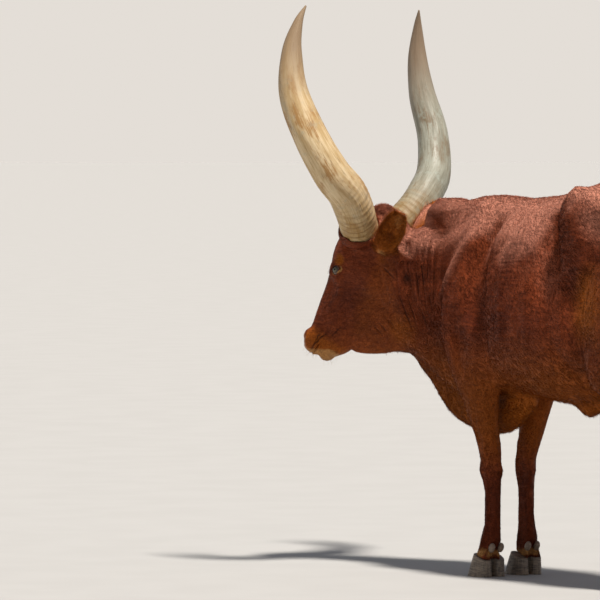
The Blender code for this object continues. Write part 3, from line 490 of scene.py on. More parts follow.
# ridges and valleys of the body
bodyTable = [
    # rear and front edge of the shoulder
    ([(0.135, 0.150, 1.33), (0.200, 0.042, 1.153), (0.165, -0.068, 1.055),
      (0.150, -0.115, 0.978), (0.142, -0.095, 0.890)], 0.034, 0.0095),
    ([(0.09, 0.270, 1.39), (0.165, 0.205, 1.235), (0.192, 0.185, 1.155),
      (0.200, 0.185, 1.080), (0.209, 0.216, 1.006), (0.214, 0.290, 0.907)],
     0.040, -0.0150),
    ([(0.13, 0.36, 1.36), (0.22, 0.31, 1.20), (0.25, 0.33, 1.05)], 0.050, 0.006),
    # hollow behind the elbow, and the fold of the brisket
    ([(0.17, 0.02, 0.96), (0.16, 0.10, 0.90), (0.15, 0.19, 0.86)], 0.026, -0.007),
    ([(0.12, -0.10, 0.86), (0.11, -0.02, 0.78), (0.10, 0.06, 0.72)], 0.026, -0.007),
    # gullet and neck cord
    ([(0.10, -0.33, 1.16), (0.11, -0.26, 1.04), (0.11, -0.20, 0.93)], 0.028, -0.006),
    # folds of the loose hide over the ribs
    ([(0.11, 0.36, 1.40), (0.19, 0.30, 1.30), (0.23, 0.27, 1.18)], 0.016, 0.0045),
    ([(0.13, 0.43, 1.40), (0.20, 0.38, 1.31), (0.24, 0.35, 1.20)], 0.020, -0.0040),
    # flank, hip and thigh
    ([(0.14, 0.66, 1.39), (0.20, 0.66, 1.30), (0.245, 0.68, 1.16), (0.25, 0.66, 1.02)],
     0.048, -0.0095),
    ([(0.19, 0.76, 1.32), (0.23, 0.745, 1.19), (0.24, 0.78, 1.04), (0.23, 0.79, 0.92),
      (0.21, 0.84, 0.84), (0.19, 0.90, 0.75)], 0.034, 0.0085),
    ([(0.22, 0.71, 0.92), (0.20, 0.76, 0.84), (0.17, 0.82, 0.75)], 0.026, -0.0080),
    ([(0.18, 0.84, 1.40), (0.21, 0.86, 1.33), (0.22, 0.90, 1.26)], 0.050, 0.0070),
    ([(0.20, 1.00, 1.32), (0.19, 1.14, 1.26), (0.15, 1.30, 1.20)], 0.040, 0.005),
    ([(0.14, 1.36, 1.22), (0.17, 1.31, 1.10), (0.16, 1.27, 0.98)], 0.030, -0.008),
]


def bodyLines(s):
    return mirrored(bodyTable, at, s)


def neckLines(s):
    # long upright wrinkles of the loose neck
    found = []
    for k in range(7):
        sway = 0.006 * math.sin(2.3 * k)
        low = 0.90 + 0.025 * (k % 3)
        found.append(([at(0.08 * s, -0.385 + 0.036 * k, 1.285), at(0.10 * s, -0.345 + 0.036 * k + sway, 1.12),
                       at(0.10 * s, -0.285 + 0.033 * k, low)], 0.0055 - 0.0005 * (k % 3), -0.0042))
    return found


def ribLines(s):
    # faint ribs on the barrel, sloping back
    found = []
    for k in range(6):
        y = 0.40 + 0.078 * k
        path = [at(0.235 * s, y, 1.16), at(0.262 * s, y + 0.030, 1.02), at(0.250 * s, y + 0.045, 0.88)]
        found.append((path, 0.018, 0.0022))
    return found


def legLines(s):
    # tendons and bone edges
    foot = {1: 1.045, -1: 1.300}[s]
    hock = {1: 1.112, -1: 1.460}[s]
    table = [
        ([(0.112, 0.172, 0.36), (0.112, 0.174, 0.28), (0.113, 0.172, 0.19)], 0.0065, -0.0032),
        ([(0.045, 0.172, 0.36), (0.048, 0.174, 0.28), (0.050, 0.172, 0.19)], 0.0065, -0.0032),
        ([(0.165, 0.16, 0.66), (0.150, 0.15, 0.56), (0.125, 0.15, 0.48)], 0.012, -0.0045),
        ([(0.120, 0.125, 0.44), (0.118, 0.112, 0.41), (0.112, 0.115, 0.375)], 0.008, 0.0030),
        ([(0.168, foot + 0.04, 0.40), (0.168, foot + 0.045, 0.29), (0.167, foot + 0.045, 0.20)],
         0.0070, -0.0035),
        ([(0.190, hock - 0.040, 0.78), (0.182, hock - 0.040, 0.68), (0.178, hock - 0.040, 0.60)],
         0.012, -0.0070),
    ]
    return mirrored(table, at, s)


# on the head: forward, left, up of the poll
jawTable = [
    # jaw's rear edge and the hollow behind it
    ([(-0.0555, 0.096, -0.217), (-0.0924, 0.0998, -0.247),
      (-0.1319, 0.1025, -0.277)], 0.007, -0.004),
    ([(-0.050, 0.098, -0.245), (-0.085, 0.100, -0.290),
      (-0.085, 0.092, -0.350), (-0.045, 0.066, -0.415)], 0.010, 0.004),
    # folds of the throat
    ([(0.0166, 0.0484, -0.451), (-0.0041, 0.0443, -0.470),
      (-0.0217, 0.0369, -0.493)], 0.0045, -0.0032),
    ([(-0.004, 0.054, -0.436), (-0.028, 0.048, -0.457),
      (-0.045, 0.042, -0.480)], 0.0045, -0.0028),
    ([(-0.050, 0.060, -0.420), (-0.075, 0.052, -0.452),
      (-0.095, 0.044, -0.490)], 0.006, -0.004),
]
# on the face: left, down, out
faceTable = [
    # cheek ridge below the eye, and the groove above the lips
    ([(0.098, 0.330, -0.030), (0.088, 0.400, -0.018), (0.074, 0.465, -0.006)],
     0.010, 0.0038),
    ([(0.040, 0.30, 0.030), (0.034, 0.42, 0.036), (0.030, 0.54, 0.036)],
     0.011, 0.0022),
    ([(0.074, 0.540, -0.022), (0.071, 0.590, -0.018), (0.062, 0.635, -0.010)],
     0.007, -0.0022),
    # mouth and the fold of the lip above its corner
    ([(0.0, 0.664, 0.010), (0.030, 0.652, -0.003), (0.052, 0.625, -0.024),
      (0.062, 0.592, -0.036), (0.064, 0.562, -0.043)], 0.0032, -0.0062),
    ([(0.066, 0.585, -0.014), (0.068, 0.556, -0.026), (0.068, 0.530, -0.046)],
     0.0060, -0.0020),
    ([(0.066, 0.540, -0.062), (0.066, 0.500, -0.080), (0.064, 0.470, -0.094)],
     0.0060, -0.0022),
]
# folds round the lids
lidTable = [
    ([(-0.026, 0.004), (-0.014, 0.019), (0.010, 0.021),
      (0.030, 0.008)], 0.0030, -0.0026),
    ([(-0.030, -0.006), (-0.010, -0.020), (0.014, -0.020),
      (0.032, -0.006)], 0.0030, -0.0022),
    ([(-0.034, -0.016), (-0.010, -0.030), (0.018, -0.029)], 0.0035, -0.0018),
]


def headLines(s):
    def onLid(u, v):
        return lidPlace(s, u, v)

    return (mirrored(jawTable, byHead, s, 1) + mirrored(faceTable, onHead, s)
            + mirrored(lidTable, onLid, s, None))


def faceRefined(piece, scale=1.0):
    # halves the mesh where the face needs finer forms
    mesh = piece.data
    work = bmesh.new()
    work.from_mesh(mesh)
    spots = []
    for s in (1, -1):
        spots.append((Vector(eyeCentre(s)), 0.062 * scale))
        spots.append((Vector(onHead(0.045 * s, 0.615, 0.0)), 0.085 * scale))
    spots.append((Vector(onHead(0, 0.645, -0.03)), 0.07 * scale))
    picked = [edge for edge in work.edges
              if any((edge.verts[0].co - spot).length < size and (edge.verts[1].co - spot).length < size
                     for spot, size in spots)]
    bmesh.ops.subdivide_edges(work, edges=picked, cuts=1, use_grid_fill=True, smooth=0.6)
    bmesh.ops.triangulate(work, faces=work.faces)
    work.to_mesh(mesh)
    work.free()


def bigForms(points):
    # the trunk without the flat faces of the frame's solids
    rough = joinedCopy(fleshNodes, "rough", skinPlan["swelling"])
    withModifier(rough, "REMESH", {"mode": "VOXEL", "voxel_size": skinPlan["coarse"]})
    rough = keepLargest(rough)
    smooth, edges = pointsOf(rough.data), edgesOf(rough.data)
    smooth = relaxed(smooth, edges, np.ones(len(smooth)), skinPlan["bigRounds"])
    putPoints(rough.data, smooth)
    withModifier(rough, "SUBSURF", {"levels": 1, "render_levels": 1})
    surface = surfaceOf(pointsOf(rough.data), facesOf(rough.data))
    bpy.data.objects.remove(rough)
    kept = np.maximum(reach(points, onHead(0, 0.33, -0.02), (0.26, 0.56, 0.34), headAxes),
                      reach(points, byHead(-0.08, 0, 0.0), (0.26, 0.32, 0.24)))
    weight = (1 - smoothStep(kept, 0.05, 0.30)) * smoothStep(points[:, 2], 0.52, 0.78)
    weight *= 1 - smoothStep(points[:, 1], 1.02, 1.10)
    for k in np.nonzero(weight > 0.01)[0]:
        near = surface.find_nearest(points[k])[0]
        points[k] += (np.array(near) - points[k]) * weight[k]
    return points


def shapedLids(points, s):
    # lids that hug the eyeball round an almond opening
    u, v, w = lidFrame(points, s)
    rho = roundLid(u, v)
    away = points - eyeCentre(s)
    far = np.linalg.norm(away, axis=1)
    rim = eyePlan["radius"] + lidPlan["thickness"] * (1 + 0.35 * np.exp(-((rho - 1.22) / 0.20) ** 2))
    edge = smoothStep(rho, 0.93, 1.07)
    wanted = (eyePlan["radius"] - lidPlan["tuck"]) * (1 - edge) + rim * edge
    weight = (1 - smoothStep(rho, 1.55, 2.60)) * smoothStep(w, -0.001, 0.006) * (far < 0.05)
    return points + away / np.maximum(far, 1e-6)[:, None] * ((wanted - far) * weight)[:, None]


def makeSkin():
    skin = joinedCopy(fleshNodes, "skin", skinPlan["swelling"])
    withModifier(skin, "REMESH", {"mode": "VOXEL", "voxel_size": skinPlan["voxel"]})
    skin = keepLargest(skin)
    mesh = skin.data
    points, edges = pointsOf(mesh), edgesOf(mesh)
    # the face and the feet keep their small forms
    fine = smoothStep(reach(points, onHead(0, 0.33, -0.02), (0.30, 0.62, 0.36), headAxes), 0.25, 0.6)
    fine = np.maximum(fine, 1 - smoothStep(points[:, 2], 0.10, 0.22))
    points = relaxed(bigForms(points), edges, 1.0 - 0.75 * fine, skinPlan["relaxRounds"])
    surface = surfaceOf(points, facesOf(mesh))
    seams = np.zeros(len(points))
    for s in (1, -1):
        for corners, width, height in bodyLines(s)[:2]:
            near, best = alongLine(points, surface, corners, 2 * width)[:2]
            seams[near] = np.maximum(seams[near], np.exp(-(best / (1.6 * width)) ** 4))
    points = relaxed(points, edges, seams * (1 - fine), skinPlan["seamRounds"])
    putPoints(mesh, points)
    faceRefined(skin)
    mesh = skin.data
    points, edges = pointsOf(mesh), edgesOf(mesh)
    near = reach(points, onHead(0, 0.45, -0.02), (0.25, 0.40, 0.25), headAxes)
    points = relaxed(points, edges, 0.9 * smoothStep(near, 0.0, 0.2), 3)
    putPoints(mesh, points)
    faceRefined(skin, 0.6)
    mesh = skin.data
    points, edges = pointsOf(mesh), edgesOf(mesh)
    surface = surfaceOf(points, facesOf(mesh))
    normals = normalsOf(mesh)
    points -= normals * skinPlan["coatDepth"]
    for s in (1, -1):
        for corners, width, height in bodyLines(s) + ribLines(s) + legLines(s):
            drawn(points, normals, surface, corners, width, height)
        for corners, width, height in headLines(s) + neckLines(s):
            drawn(points, normals, surface, corners, width, height, lips=0.35)
    points += normals * creased(points)[:, None]
    for s in (1, -1):
        points = shapedLids(points, s)
    putPoints(mesh, points)
    print("skin sculpted:", len(mesh.vertices), "points")
    group = skin.vertex_groups.new(name="fine")
    near = smoothStep(reach(points, onHead(0, 0.42, -0.02), (0.26, 0.50, 0.30), headAxes), 0.0, 0.3)
    for k in np.nonzero(near > 0.05)[0]:
        group.add([int(k)], float(near[k]), "REPLACE")
    triangles = sum(len(face.vertices) - 2 for face in mesh.polygons)
    withModifier(skin, "DECIMATE", {"ratio": skinPlan["triangles"] / triangles, "vertex_group": "fine",
                                    "invert_vertex_group": True, "vertex_group_factor": 1.5})
    withModifier(skin, "TRIANGULATE", {})
    makeActive(skin)
    bpy.ops.object.shade_smooth()
    return skin


def creased(points):
    # loose skin: fine wrinkles down the neck
    rise = np.zeros(len(points))
    neck = reach(points, at(0.06, -0.26, 1.10), (0.30, 0.36, 0.42))
    for k in np.nonzero(neck > 0.05)[0]:
        x, y, z = points[k]
        bend = y + 0.35 * z
        wave = noise.noise(Vector((x * 9, bend * 34, z * 4.5)))
        rise[k] = neck[k] * 0.0026 * wave
    return rise


# markings, shared by the skin and the hairs
def earAxes(s):
    # root, the way it points, the way its cup opens, and across
    root = byHead(-0.056, 0.112 * s, -0.160)
    tip = byHead(-0.222, 0.196, 0.006) if s > 0 else byHead(-0.095, -0.225, 0.022)
    opening = leftward * 0.94 - ahead * 0.30 if s > 0 else ahead * 0.85 - leftward * 0.35
    along = unit(tip - root)
    opening = unit(opening - along * (opening @ along))
    return root, along, opening, np.cross(along, opening)


def earFrame(points, normals, s):
    # place along the ear, across it, and how far the skin there faces into the cup
    root, along, opening, across = earAxes(s)
    away = points - root
    return away @ along, away @ across, smoothStep(normals @ opening, -0.10, 0.35)


# painted shade along the bottoms of the drawn creases of the head and neck
def creaseShadeShare(points, surface):
    share = np.zeros(len(points))
    for s in (1, -1):
        for corners, width, height in headLines(s) + neckLines(s):
            if height < 0:
                near, best, ends = alongLine(points, surface, corners, width)
                share[near] = np.maximum(share[near], np.exp(-(best / (0.75 * width)) ** 2) * ends)
    return share


def markings(points, normals, regions, surface):
    # two colours of four shares each: pale, warm (with painted warm bounce light low down), dark (with
    # painted shade in the shoulder crease and the ear cups), bare, then painted sunlight, painted shade in
    # the creases, lid, head
    local = points - poll
    down, out = local @ downFace, local @ outOfFace
    shares = dict(zip(fleshNodes, regions.T))
    head = shares["head"]
    ears = shares["ear_left"] + shares["ear_right"]
    legs = sum(shares[node] for node in fleshNodes if "leg" in node)
    forward = local @ ahead
    pale = head * smoothStep(forward, 0.335, 0.358) * smoothStep(-local[:, 2], 0.465, 0.500)
    chin = smoothStep(-local[:, 2], 0.532, 0.560) * smoothStep(forward, 0.175, 0.235)
    pale = np.maximum(pale, head * chin)
    lid = np.zeros(len(points))
    for s in (1, -1):
        u, v, w = lidFrame(points, s)
        rho = roundLid(u, v)
        lower = smoothStep(-v + 0.30 * u, -0.007, 0.002) * np.exp(-((rho - 1.42) / 0.22) ** 2)
        pale = np.maximum(pale, 0.85 * lower * (w > 0.002))
        rim = (1 - smoothStep(rho, 1.10, 1.28)) * (w > 0.002)
        lid = np.maximum(lid, rim)
    band = smoothStep(points[:, 2], 0.066, 0.080) * (1 - smoothStep(points[:, 2], 0.092, 0.118))
    pale = np.maximum(pale, 0.85 * band)
    # painted warm bounce light: the body grows more orange low down, where light thrown up from the ground
    # falls
    low = 1 - smoothStep(points[:, 2], 0.60, 1.08)
    warm = 0.9 * low * (1 - 0.35 * legs) * (1 - smoothStep(0.45 - points[:, 2], -0.08, 0.15))
    line = reach(points, at(0.10, -0.36, 0.93), (0.13, 0.20, 0.16))
    warm = np.maximum(warm, 0.9 * line)
    warm = np.maximum(warm, 0.40 * head * (1 - smoothStep(out, -0.17, -0.04)))
    for s in (1, -1):
        brow = reach(points, onHead(0.098 * s, 0.238, 0.026), (0.045, 0.036, 0.045), headAxes)
        warm = np.maximum(warm, 1.4 * brow)
        behind = reach(points, byHead(-0.055, 0.115 * s, -0.195), (0.05, 0.05, 0.06))
        warm = np.maximum(warm, 0.8 * behind)
    warm = np.maximum(warm, 0.75 * head * smoothStep(down, 0.50, 0.58) * (1 - smoothStep(out, 0.02, 0.06)))
    warm = np.maximum(warm, 0.95 * ears)
    dark = 0.5 * smoothStep(points[:, 2], 1.28, 1.38) * shares["neck"]
    dark = np.maximum(dark, 0.9 * reach(points, byHead(0.0, 0.0, 0.0), (0.09, 0.09, 0.08)))
    dark = np.maximum(dark, 0.5 * legs * (1 - smoothStep(points[:, 2], 0.22, 0.50)))
    dark = np.maximum(dark, 0.8 * shares["tail"] * (1 - smoothStep(points[:, 2], 0.7, 1.1)))
    for s in (1, -1):
        # painted shade in the crease behind the shoulder
        dark = np.maximum(dark, 0.55 * reach(points, at(0.150 * s, 0.20, 1.03), (0.10, 0.045, 0.22)))
    bare = head * smoothStep(forward, 0.315, 0.335) * smoothStep(-local[:, 2], 0.455, 0.480)
    for s, side in ((1, "ear_left"), (-1, "ear_right")):
        t, q, inner = earFrame(points, normals, s)
        # painted shade deep in the ear cup and along its inner walls
        pit = np.exp(-((t - 0.062) / 0.034) ** 2 - (q / 0.022) ** 2)
        rim = smoothStep(-q, 0.022, 0.046) * 0.6 + 0.4 * smoothStep(q, 0.038, 0.052)
        dark = np.maximum(dark, shares[side] * inner * np.maximum(0.9 * pit, rim))
        dark = np.maximum(dark, 0.30 * shares[side] * (1 - inner))
        rays = 0.5 + 0.5 * np.cos(np.arctan2(q, np.maximum(t, 0.004)) * 26.0)
        lining = inner * (1 - pit) * (1 - rim) * smoothStep(t, 0.03, 0.07)
        pale = np.maximum(pale, shares[side] * lining * (0.28 + 0.16 * rays))
        tuft = np.exp(-((t - 0.012) / 0.020) ** 2 - ((q - 0.012) / 0.022) ** 2)
        pale = np.maximum(pale, 0.62 * (shares[side] + head) * inner * tuft)
    # painted sunlight: skin that faces up, high on the body, is painted lighter and pinker
    paintedSunlitShare = smoothStep(normals[:, 2], 0.12, 0.66) * smoothStep(points[:, 2], 0.95, 1.20)
    for s in (1, -1):
        # painted sunlight: the lit ridge of the shoulder, the thigh (also painted warm light), and the lit
        # patches on the barrel and the hip
        edge = [at(0.110 * s, 0.170, 1.37), at(0.175 * s, 0.085, 1.240), at(0.195 * s, 0.030, 1.140),
                at(0.165 * s, -0.068, 1.040)]
        near, best, ends = alongLine(points, surface, edge, 0.034)
        paintedSunlitShare[near] = np.maximum(paintedSunlitShare[near], 0.62 * np.exp(-(best / 0.034) ** 2) * ends)
        thigh = reach(points, at(0.20 * s, 0.93, 1.04), (0.14, 0.17, 0.26))
        warm = np.maximum(warm, 1.1 * thigh)
        paintedSunlitShare = np.maximum(paintedSunlitShare, 0.30 * thigh)
        lit = np.maximum(reach(points, at(0.17 * s, 0.46, 1.33), (0.13, 0.22, 0.24)),
                         reach(points, at(0.17 * s, 0.95, 1.38), (0.15, 0.26, 0.20)))
        paintedSunlitShare = np.maximum(paintedSunlitShare, 1.05 * lit)
    paintedSunlitShare *= 1 - 0.6 * head
    foldShade = creaseShadeShare(points, surface)
    first = np.stack([pale, warm, dark, bare], axis=1)
    second = np.stack([paintedSunlitShare, foldShade, lid, head], axis=1)
    return np.clip(first, 0.0, 1.0), np.clip(second, 0.0, 1.0)


def lieOf(points, normals, regions):
    # the way the hair lies at each point, along the skin
    shares = dict(zip(fleshNodes, regions.T))
    legs = sum(shares[node] for node in fleshNodes if "leg" in node)
    lie = np.tile((0.0, 0.75, -0.75), (len(points), 1)) * (shares["torso"] + 0.01)[:, None]
    lie += np.array((-0.10, 0.80, -0.60)) * shares["neck"][:, None]
    lie += np.array((0.0, 0.12, -1.0)) * (legs + shares["tail"])[:, None]
    down = (points - poll) @ downFace
    lie += downFace * (shares["head"] * np.where(down > 0.16, 1.0, -0.7))[:, None]
    cheek = (down > 0.30) * ((points - poll) @ outOfFace < -0.03)
    lie += (-ahead * 0.6) * (shares["head"] * cheek)[:, None]
    for ear, s in (("ear_left", 1), ("ear_right", -1)):
        root, along, opening, across = earAxes(s)
        t, q, inner = earFrame(points, normals, s)
        fan = np.outer(t - 0.03, along) + np.outer(q * 1.4, across)
        lie += (fan * 12.0 * inner[:, None] + along * (1 - inner)[:, None]) * shares[ear][:, None]
    lie -= normals * (lie * normals).sum(axis=1)[:, None]
    return unit(lie, 1e-6)


def putColours(mesh, name, values):
    layer = mesh.attributes.new(name, "FLOAT_COLOR", "POINT")
    layer.data.foreach_set("color", values.astype(np.float32).ravel())


def zonesOf(regions):
    # grain of the coat: along the trunk, down the limbs, down the face, along the neck
    shares = dict(zip(fleshNodes, regions.T))
    legs = sum(shares[node] for node in fleshNodes if "leg" in node) + shares["tail"]
    zones = np.stack([shares["torso"], legs, shares["head"] + shares["ear_left"] + shares["ear_right"],
                      shares["neck"]], axis=1)
    return zones / np.maximum(zones.sum(axis=1), 1e-6)[:, None]


coatPlan = {
    "chestnut": colour(0.210, 0.0430, 0.0140),
    "deep": colour(0.092, 0.0170, 0.0070),
    "warm": colour(0.300, 0.0780, 0.0080),
    "pale": colour(0.42, 0.205, 0.070),
    # painted sunlight: the pinkish highlight of sunlit hair on the tops
    "sunned": colour(0.520, 0.215, 0.145),
    "bare": colour(0.36, 0.175, 0.100),
    "lid": colour(0.035, 0.016, 0.012),
    # painted shade for the bottoms of the creases
    "crease": colour(0.020, 0.0055, 0.0040),
    "roughness": 0.52,
    "hairBump": 0.0010,
    "lockBump": 0.0030,
    "specular": 0.16,
    "sheen": colour(1.0, 0.60, 0.42),
    # slope of the hair streaks on the trunk, limbs, neck and face
    "slopes": ((-24, 0, 0), (-86, 0, 0), (-52, 0, 0), (60, 0, 20)),
}


def coatLook(name, hair=False):
    look = Look(name)
    where = look.coordinates()
    marks = look.attribute("marks")
    more = look.attribute("moreMarks")
    pale, warm, dark = look.parts(marks[0])
    bare = marks[3]
    sunned, foldShade, lid = look.parts(more[0])
    zones = look.attribute("zones")
    trunk, limb, face = look.parts(zones[0])
    neck = zones[3]
    # hair streaks, each stretched along the lie of one zone
    streaks = None
    fine = None
    for share, slope in zip((trunk, limb, neck, face), coatPlan["slopes"]):
        held = look.stretched(where, [math.radians(angle) for angle in slope], (1.0, 0.085, 1.0))
        wide = look.grain(held, 85.0, 3.0, 0.6) * share
        thin = look.grain(held, 420.0, 2.0, 0.65) * share
        streaks = wide if streaks is None else streaks + wide
        fine = thin if fine is None else fine + thin
    patches = look.grain(where, 4.2, 4.0, 0.6)
    tint = look.between(patches * 0.7 + streaks * 0.45, 0.40, 0.74)
    base = look.mixed(tint, coatPlan["deep"], coatPlan["chestnut"])
    strands = streaks - 0.5
    # each marking: its share, the name of its colour, and where it starts, is full, and how full
    for share, name, limits in (
            (warm + strands * 0.30, "warm", (0.10, 1.0)),
            (dark + strands * 0.35, "deep", (0.10, 1.0, 0.0, 0.85)),
            # painted sunlight on the tops
            (sunned + strands * 0.5 + (patches - 0.5) * 0.5, "sunned", (0.12, 0.95, 0.0, 0.85)),
            # painted shade in the creases
            (foldShade + strands * 0.5, "crease", (0.20, 0.95, 0.0, 0.78)),
            (pale + strands * 0.35, "pale", (0.22, 0.70)),
            (bare, "bare", (0.35, 0.85, 0.0, 0.85)),
            (lid, "lid", (0.30, 0.75, 0.0, 0.8))):
        base = look.mixed(look.between(share, *limits), base, coatPlan[name])
    glow = look.between(fine, 0.33, 0.72, 0.66, 1.36)
    if hair:
        along, shade = look.make("ShaderNodeSeparateXYZ", None, (look.attribute("tuft")[1],))[:2]
        glow = look.between(along, 0.0, 1.0, 0.70, 1.12) * look.between(shade, 0.0, 1.0, 0.72, 1.38)
    base = look.make("ShaderNodeVectorMath", {"operation": "SCALE"}, {0: base, 3: glow})[0]
    rough = look.between(fine, 0.3, 0.7, coatPlan["roughness"] + 0.14, coatPlan["roughness"] - 0.08)
    values = {"Base Color": base, "Roughness": rough, "Specular IOR Level": coatPlan["specular"],
              "Specular Tint": coatPlan["sheen"]}
    if not hair:
        pores = look.grain(where, 420.0, 2.0, 0.5)
        height = (fine * 0.6 + streaks * 0.6) * (1 - bare) + pores * bare
        locks = look.bump(patches * 0.6 + streaks, coatPlan["lockBump"], 0.8)
        values["Normal"] = look.bump(height, coatPlan["hairBump"], 0.9, locks)
    return look.finish(values)


def makeEye(s, name):
    centre = eyeCentre(s)
    out, rear, rise = eyeAxes(s)
    clearSelection()
    bpy.ops.mesh.primitive_uv_sphere_add(segments=64, ring_count=48, radius=eyePlan["radius"],
                                         location=(0, 0, 0))
    eye = bpy.context.object
    eye.name = name
    mesh = eye.data
    points = pointsOf(mesh)
    # the pole becomes the middle of the pupil, and the clear front stands proud
    radial = np.linalg.norm(points[:, :2], axis=1)
    bulge = eyePlan["bulge"] * (1 - smoothStep(radial, 0.0, eyePlan["cornea"]))
    points[:, 2] += np.where(points[:, 2] > 0, bulge, 0.0)
    putVectors(mesh, "gaze", points / eyePlan["radius"])
    across, high, deep = points.T
    points = centre + np.outer(across, rear) + np.outer(high, rise) + np.outer(deep, out)
    putPoints(mesh, points)
    if np.dot(np.cross(rear, rise), out) < 0:
        mesh.flip_normals()
    makeActive(eye)
    bpy.ops.object.shade_smooth()
    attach(eye, "root")
    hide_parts("eye_left" if s > 0 else "eye_right")
    return eye


def eyeLook():
    look = Look("eyeBall")
    gaze = look.attribute("gaze")[1]
    x, y = look.make("ShaderNodeSeparateXYZ", None, (gaze,))[:2]
    slit = ((x / 0.34) ** 2 + (y / 0.17) ** 2) ** 0.5
    ring = (x * x + y * y) ** 0.5
    way = look.make("ShaderNodeVectorMath", {"operation": "NORMALIZE"}, (gaze,))[0]
    spokes = look.grain(way, 26.0, 3.0, 0.6)
    iris = look.mixed(look.between(spokes, 0.35, 0.65), colour(0.050, 0.040, 0.022),
                      colour(0.17, 0.155, 0.10))
    iris = look.mixed(look.between(ring, 0.48, 0.62), iris, colour(0.030, 0.018, 0.013))
    white = look.mixed(look.between(spokes, 0.3, 0.7), colour(0.12, 0.07, 0.055),
                       colour(0.22, 0.14, 0.11))
    base = look.mixed(look.between(ring, 0.62, 0.74), iris, white)
    base = look.mixed(look.between(slit, 0.85, 1.10), colour(0.004, 0.005, 0.008), base)
    return look.finish({"Base Color": base, "Roughness": 0.16, "Specular IOR Level": 0.22,
                        "Coat Weight": 0.15, "Coat Roughness": 0.02})


# horns
hornPlan = {
    # forward, left, up of the poll, radius
    "line": [(0.032, 0.118, -0.078, 0.069), (-0.002, 0.200, -0.008, 0.071),
             (-0.014, 0.275, 0.069, 0.071), (0.003, 0.355, 0.145, 0.068),
             (0.054, 0.424, 0.290, 0.062), (0.116, 0.442, 0.450, 0.053),
             (0.132, 0.432, 0.600, 0.037), (0.117, 0.412, 0.715, 0.018), (0.096, 0.389, 0.782, 0.003)],
    "thickness": {1: 1.08, -1: 1.0},
    "spacing": 0.0048,
    "inside": 0.0002,      # how far it lies under the frame's horn
    "around": 56,
    "ringDepth": 0.0022,
    "ringStep": 0.024,
    "ringedLength": 0.34,
    "warm": {"body": colour(0.66, 0.52, 0.32), "shade": colour(0.43, 0.29, 0.13),
             "stain": colour(0.33, 0.175, 0.055), "weather": 0.30},
    # the far horn: greyer and more weathered, and darker as painted shade
    "cool": {"body": colour(0.33, 0.325, 0.265), "shade": colour(0.19, 0.18, 0.135),
             "stain": colour(0.17, 0.125, 0.075), "weather": 0.70},
}


def makeHorn(s, name):
    line = np.array(hornPlan["line"])
    centres = np.array([byHead(f, l * s, u) for f, l, u, r in line])
    whole = pathPoints(np.hstack([centres, line[:, 3:] * hornPlan["thickness"][s]]), hornPlan["spacing"])
    middle, radius = whole[:, :3], whole[:, 3] - hornPlan["inside"]
    along = np.concatenate([[0], np.cumsum(np.linalg.norm(np.diff(middle, axis=0), axis=1))])
    # a ring at the root, drawn out station by station
    clearSelection()
    bpy.ops.mesh.primitive_circle_add(vertices=hornPlan["around"], radius=1.0, fill_type="NGON")
    horn = bpy.context.object
    horn.name = name
    bpy.ops.object.mode_set(mode="EDIT")
    for k in range(len(middle) - 1):
        bpy.ops.mesh.extrude_region_move(TRANSFORM_OT_translate={"value": (0, 0, 1.0)})
    bpy.ops.object.mode_set(mode="OBJECT")
    mesh = horn.data
    points = pointsOf(mesh)
    station = np.clip(np.round(points[:, 2]).astype(int), 0, len(middle) - 1)
    turn = np.arctan2(points[:, 1], points[:, 0])
    # each ring is turned to the horn's own line
    tangents = unit(np.gradient(middle, axis=0))
    sideways = np.zeros_like(tangents)
    sideways[0] = np.cross(tangents[0], upward)
    for k in range(len(tangents)):
        held = sideways[max(k - 1, 0)]
        sideways[k] = unit(held - tangents[k] * (held @ tangents[k]))
    other = np.cross(tangents, sideways)
    size = np.empty(len(points))
    for k in range(len(points)):
        n, angle = station[k], turn[k]
        t = along[n]
        root = max(0.0, 1 - t / hornPlan["ringedLength"])
        wobble = noise.noise(Vector((math.cos(angle) * 0.9, math.sin(angle) * 0.9, t * 3.0)))
        drift = 2.2 * noise.noise(Vector((t * 12, s * 3.0, 0)))
        ring = math.sin(t * 2 * math.pi / hornPlan["ringStep"] + drift + wobble * 2.0)
        fibre = noise.noise(Vector((math.cos(angle) * 16, math.sin(angle) * 16, t * 3.5)))
        coarse = noise.noise(Vector((math.cos(angle) * 3, math.sin(angle) * 3, t * 9)))
        rise = (hornPlan["ringDepth"] * (ring - 1.0) * 0.5 * root ** 0.7 + 0.0010 * fibre * (0.35 + root)
                + 0.0016 * coarse - 0.0006)
        size[k] = max(radius[n] + rise * min(1.0, radius[n] / 0.03), 0.0004)
    rim = np.hypot(points[:, 0], points[:, 1]) > 0.5
    points = (middle[station] + sideways[station] * (np.cos(turn) * size * rim)[:, None]
              + other[station] * (np.sin(turn) * size * rim)[:, None])
    putVectors(mesh, "run", np.stack([np.cos(turn) * 0.06, np.sin(turn) * 0.06, along[station]], axis=1))
    putPoints(mesh, points)
    facedOut(horn)
    bpy.ops.object.shade_smooth()
    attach(horn, "root")
    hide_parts("horn_left" if s > 0 else "horn_right")
    return horn


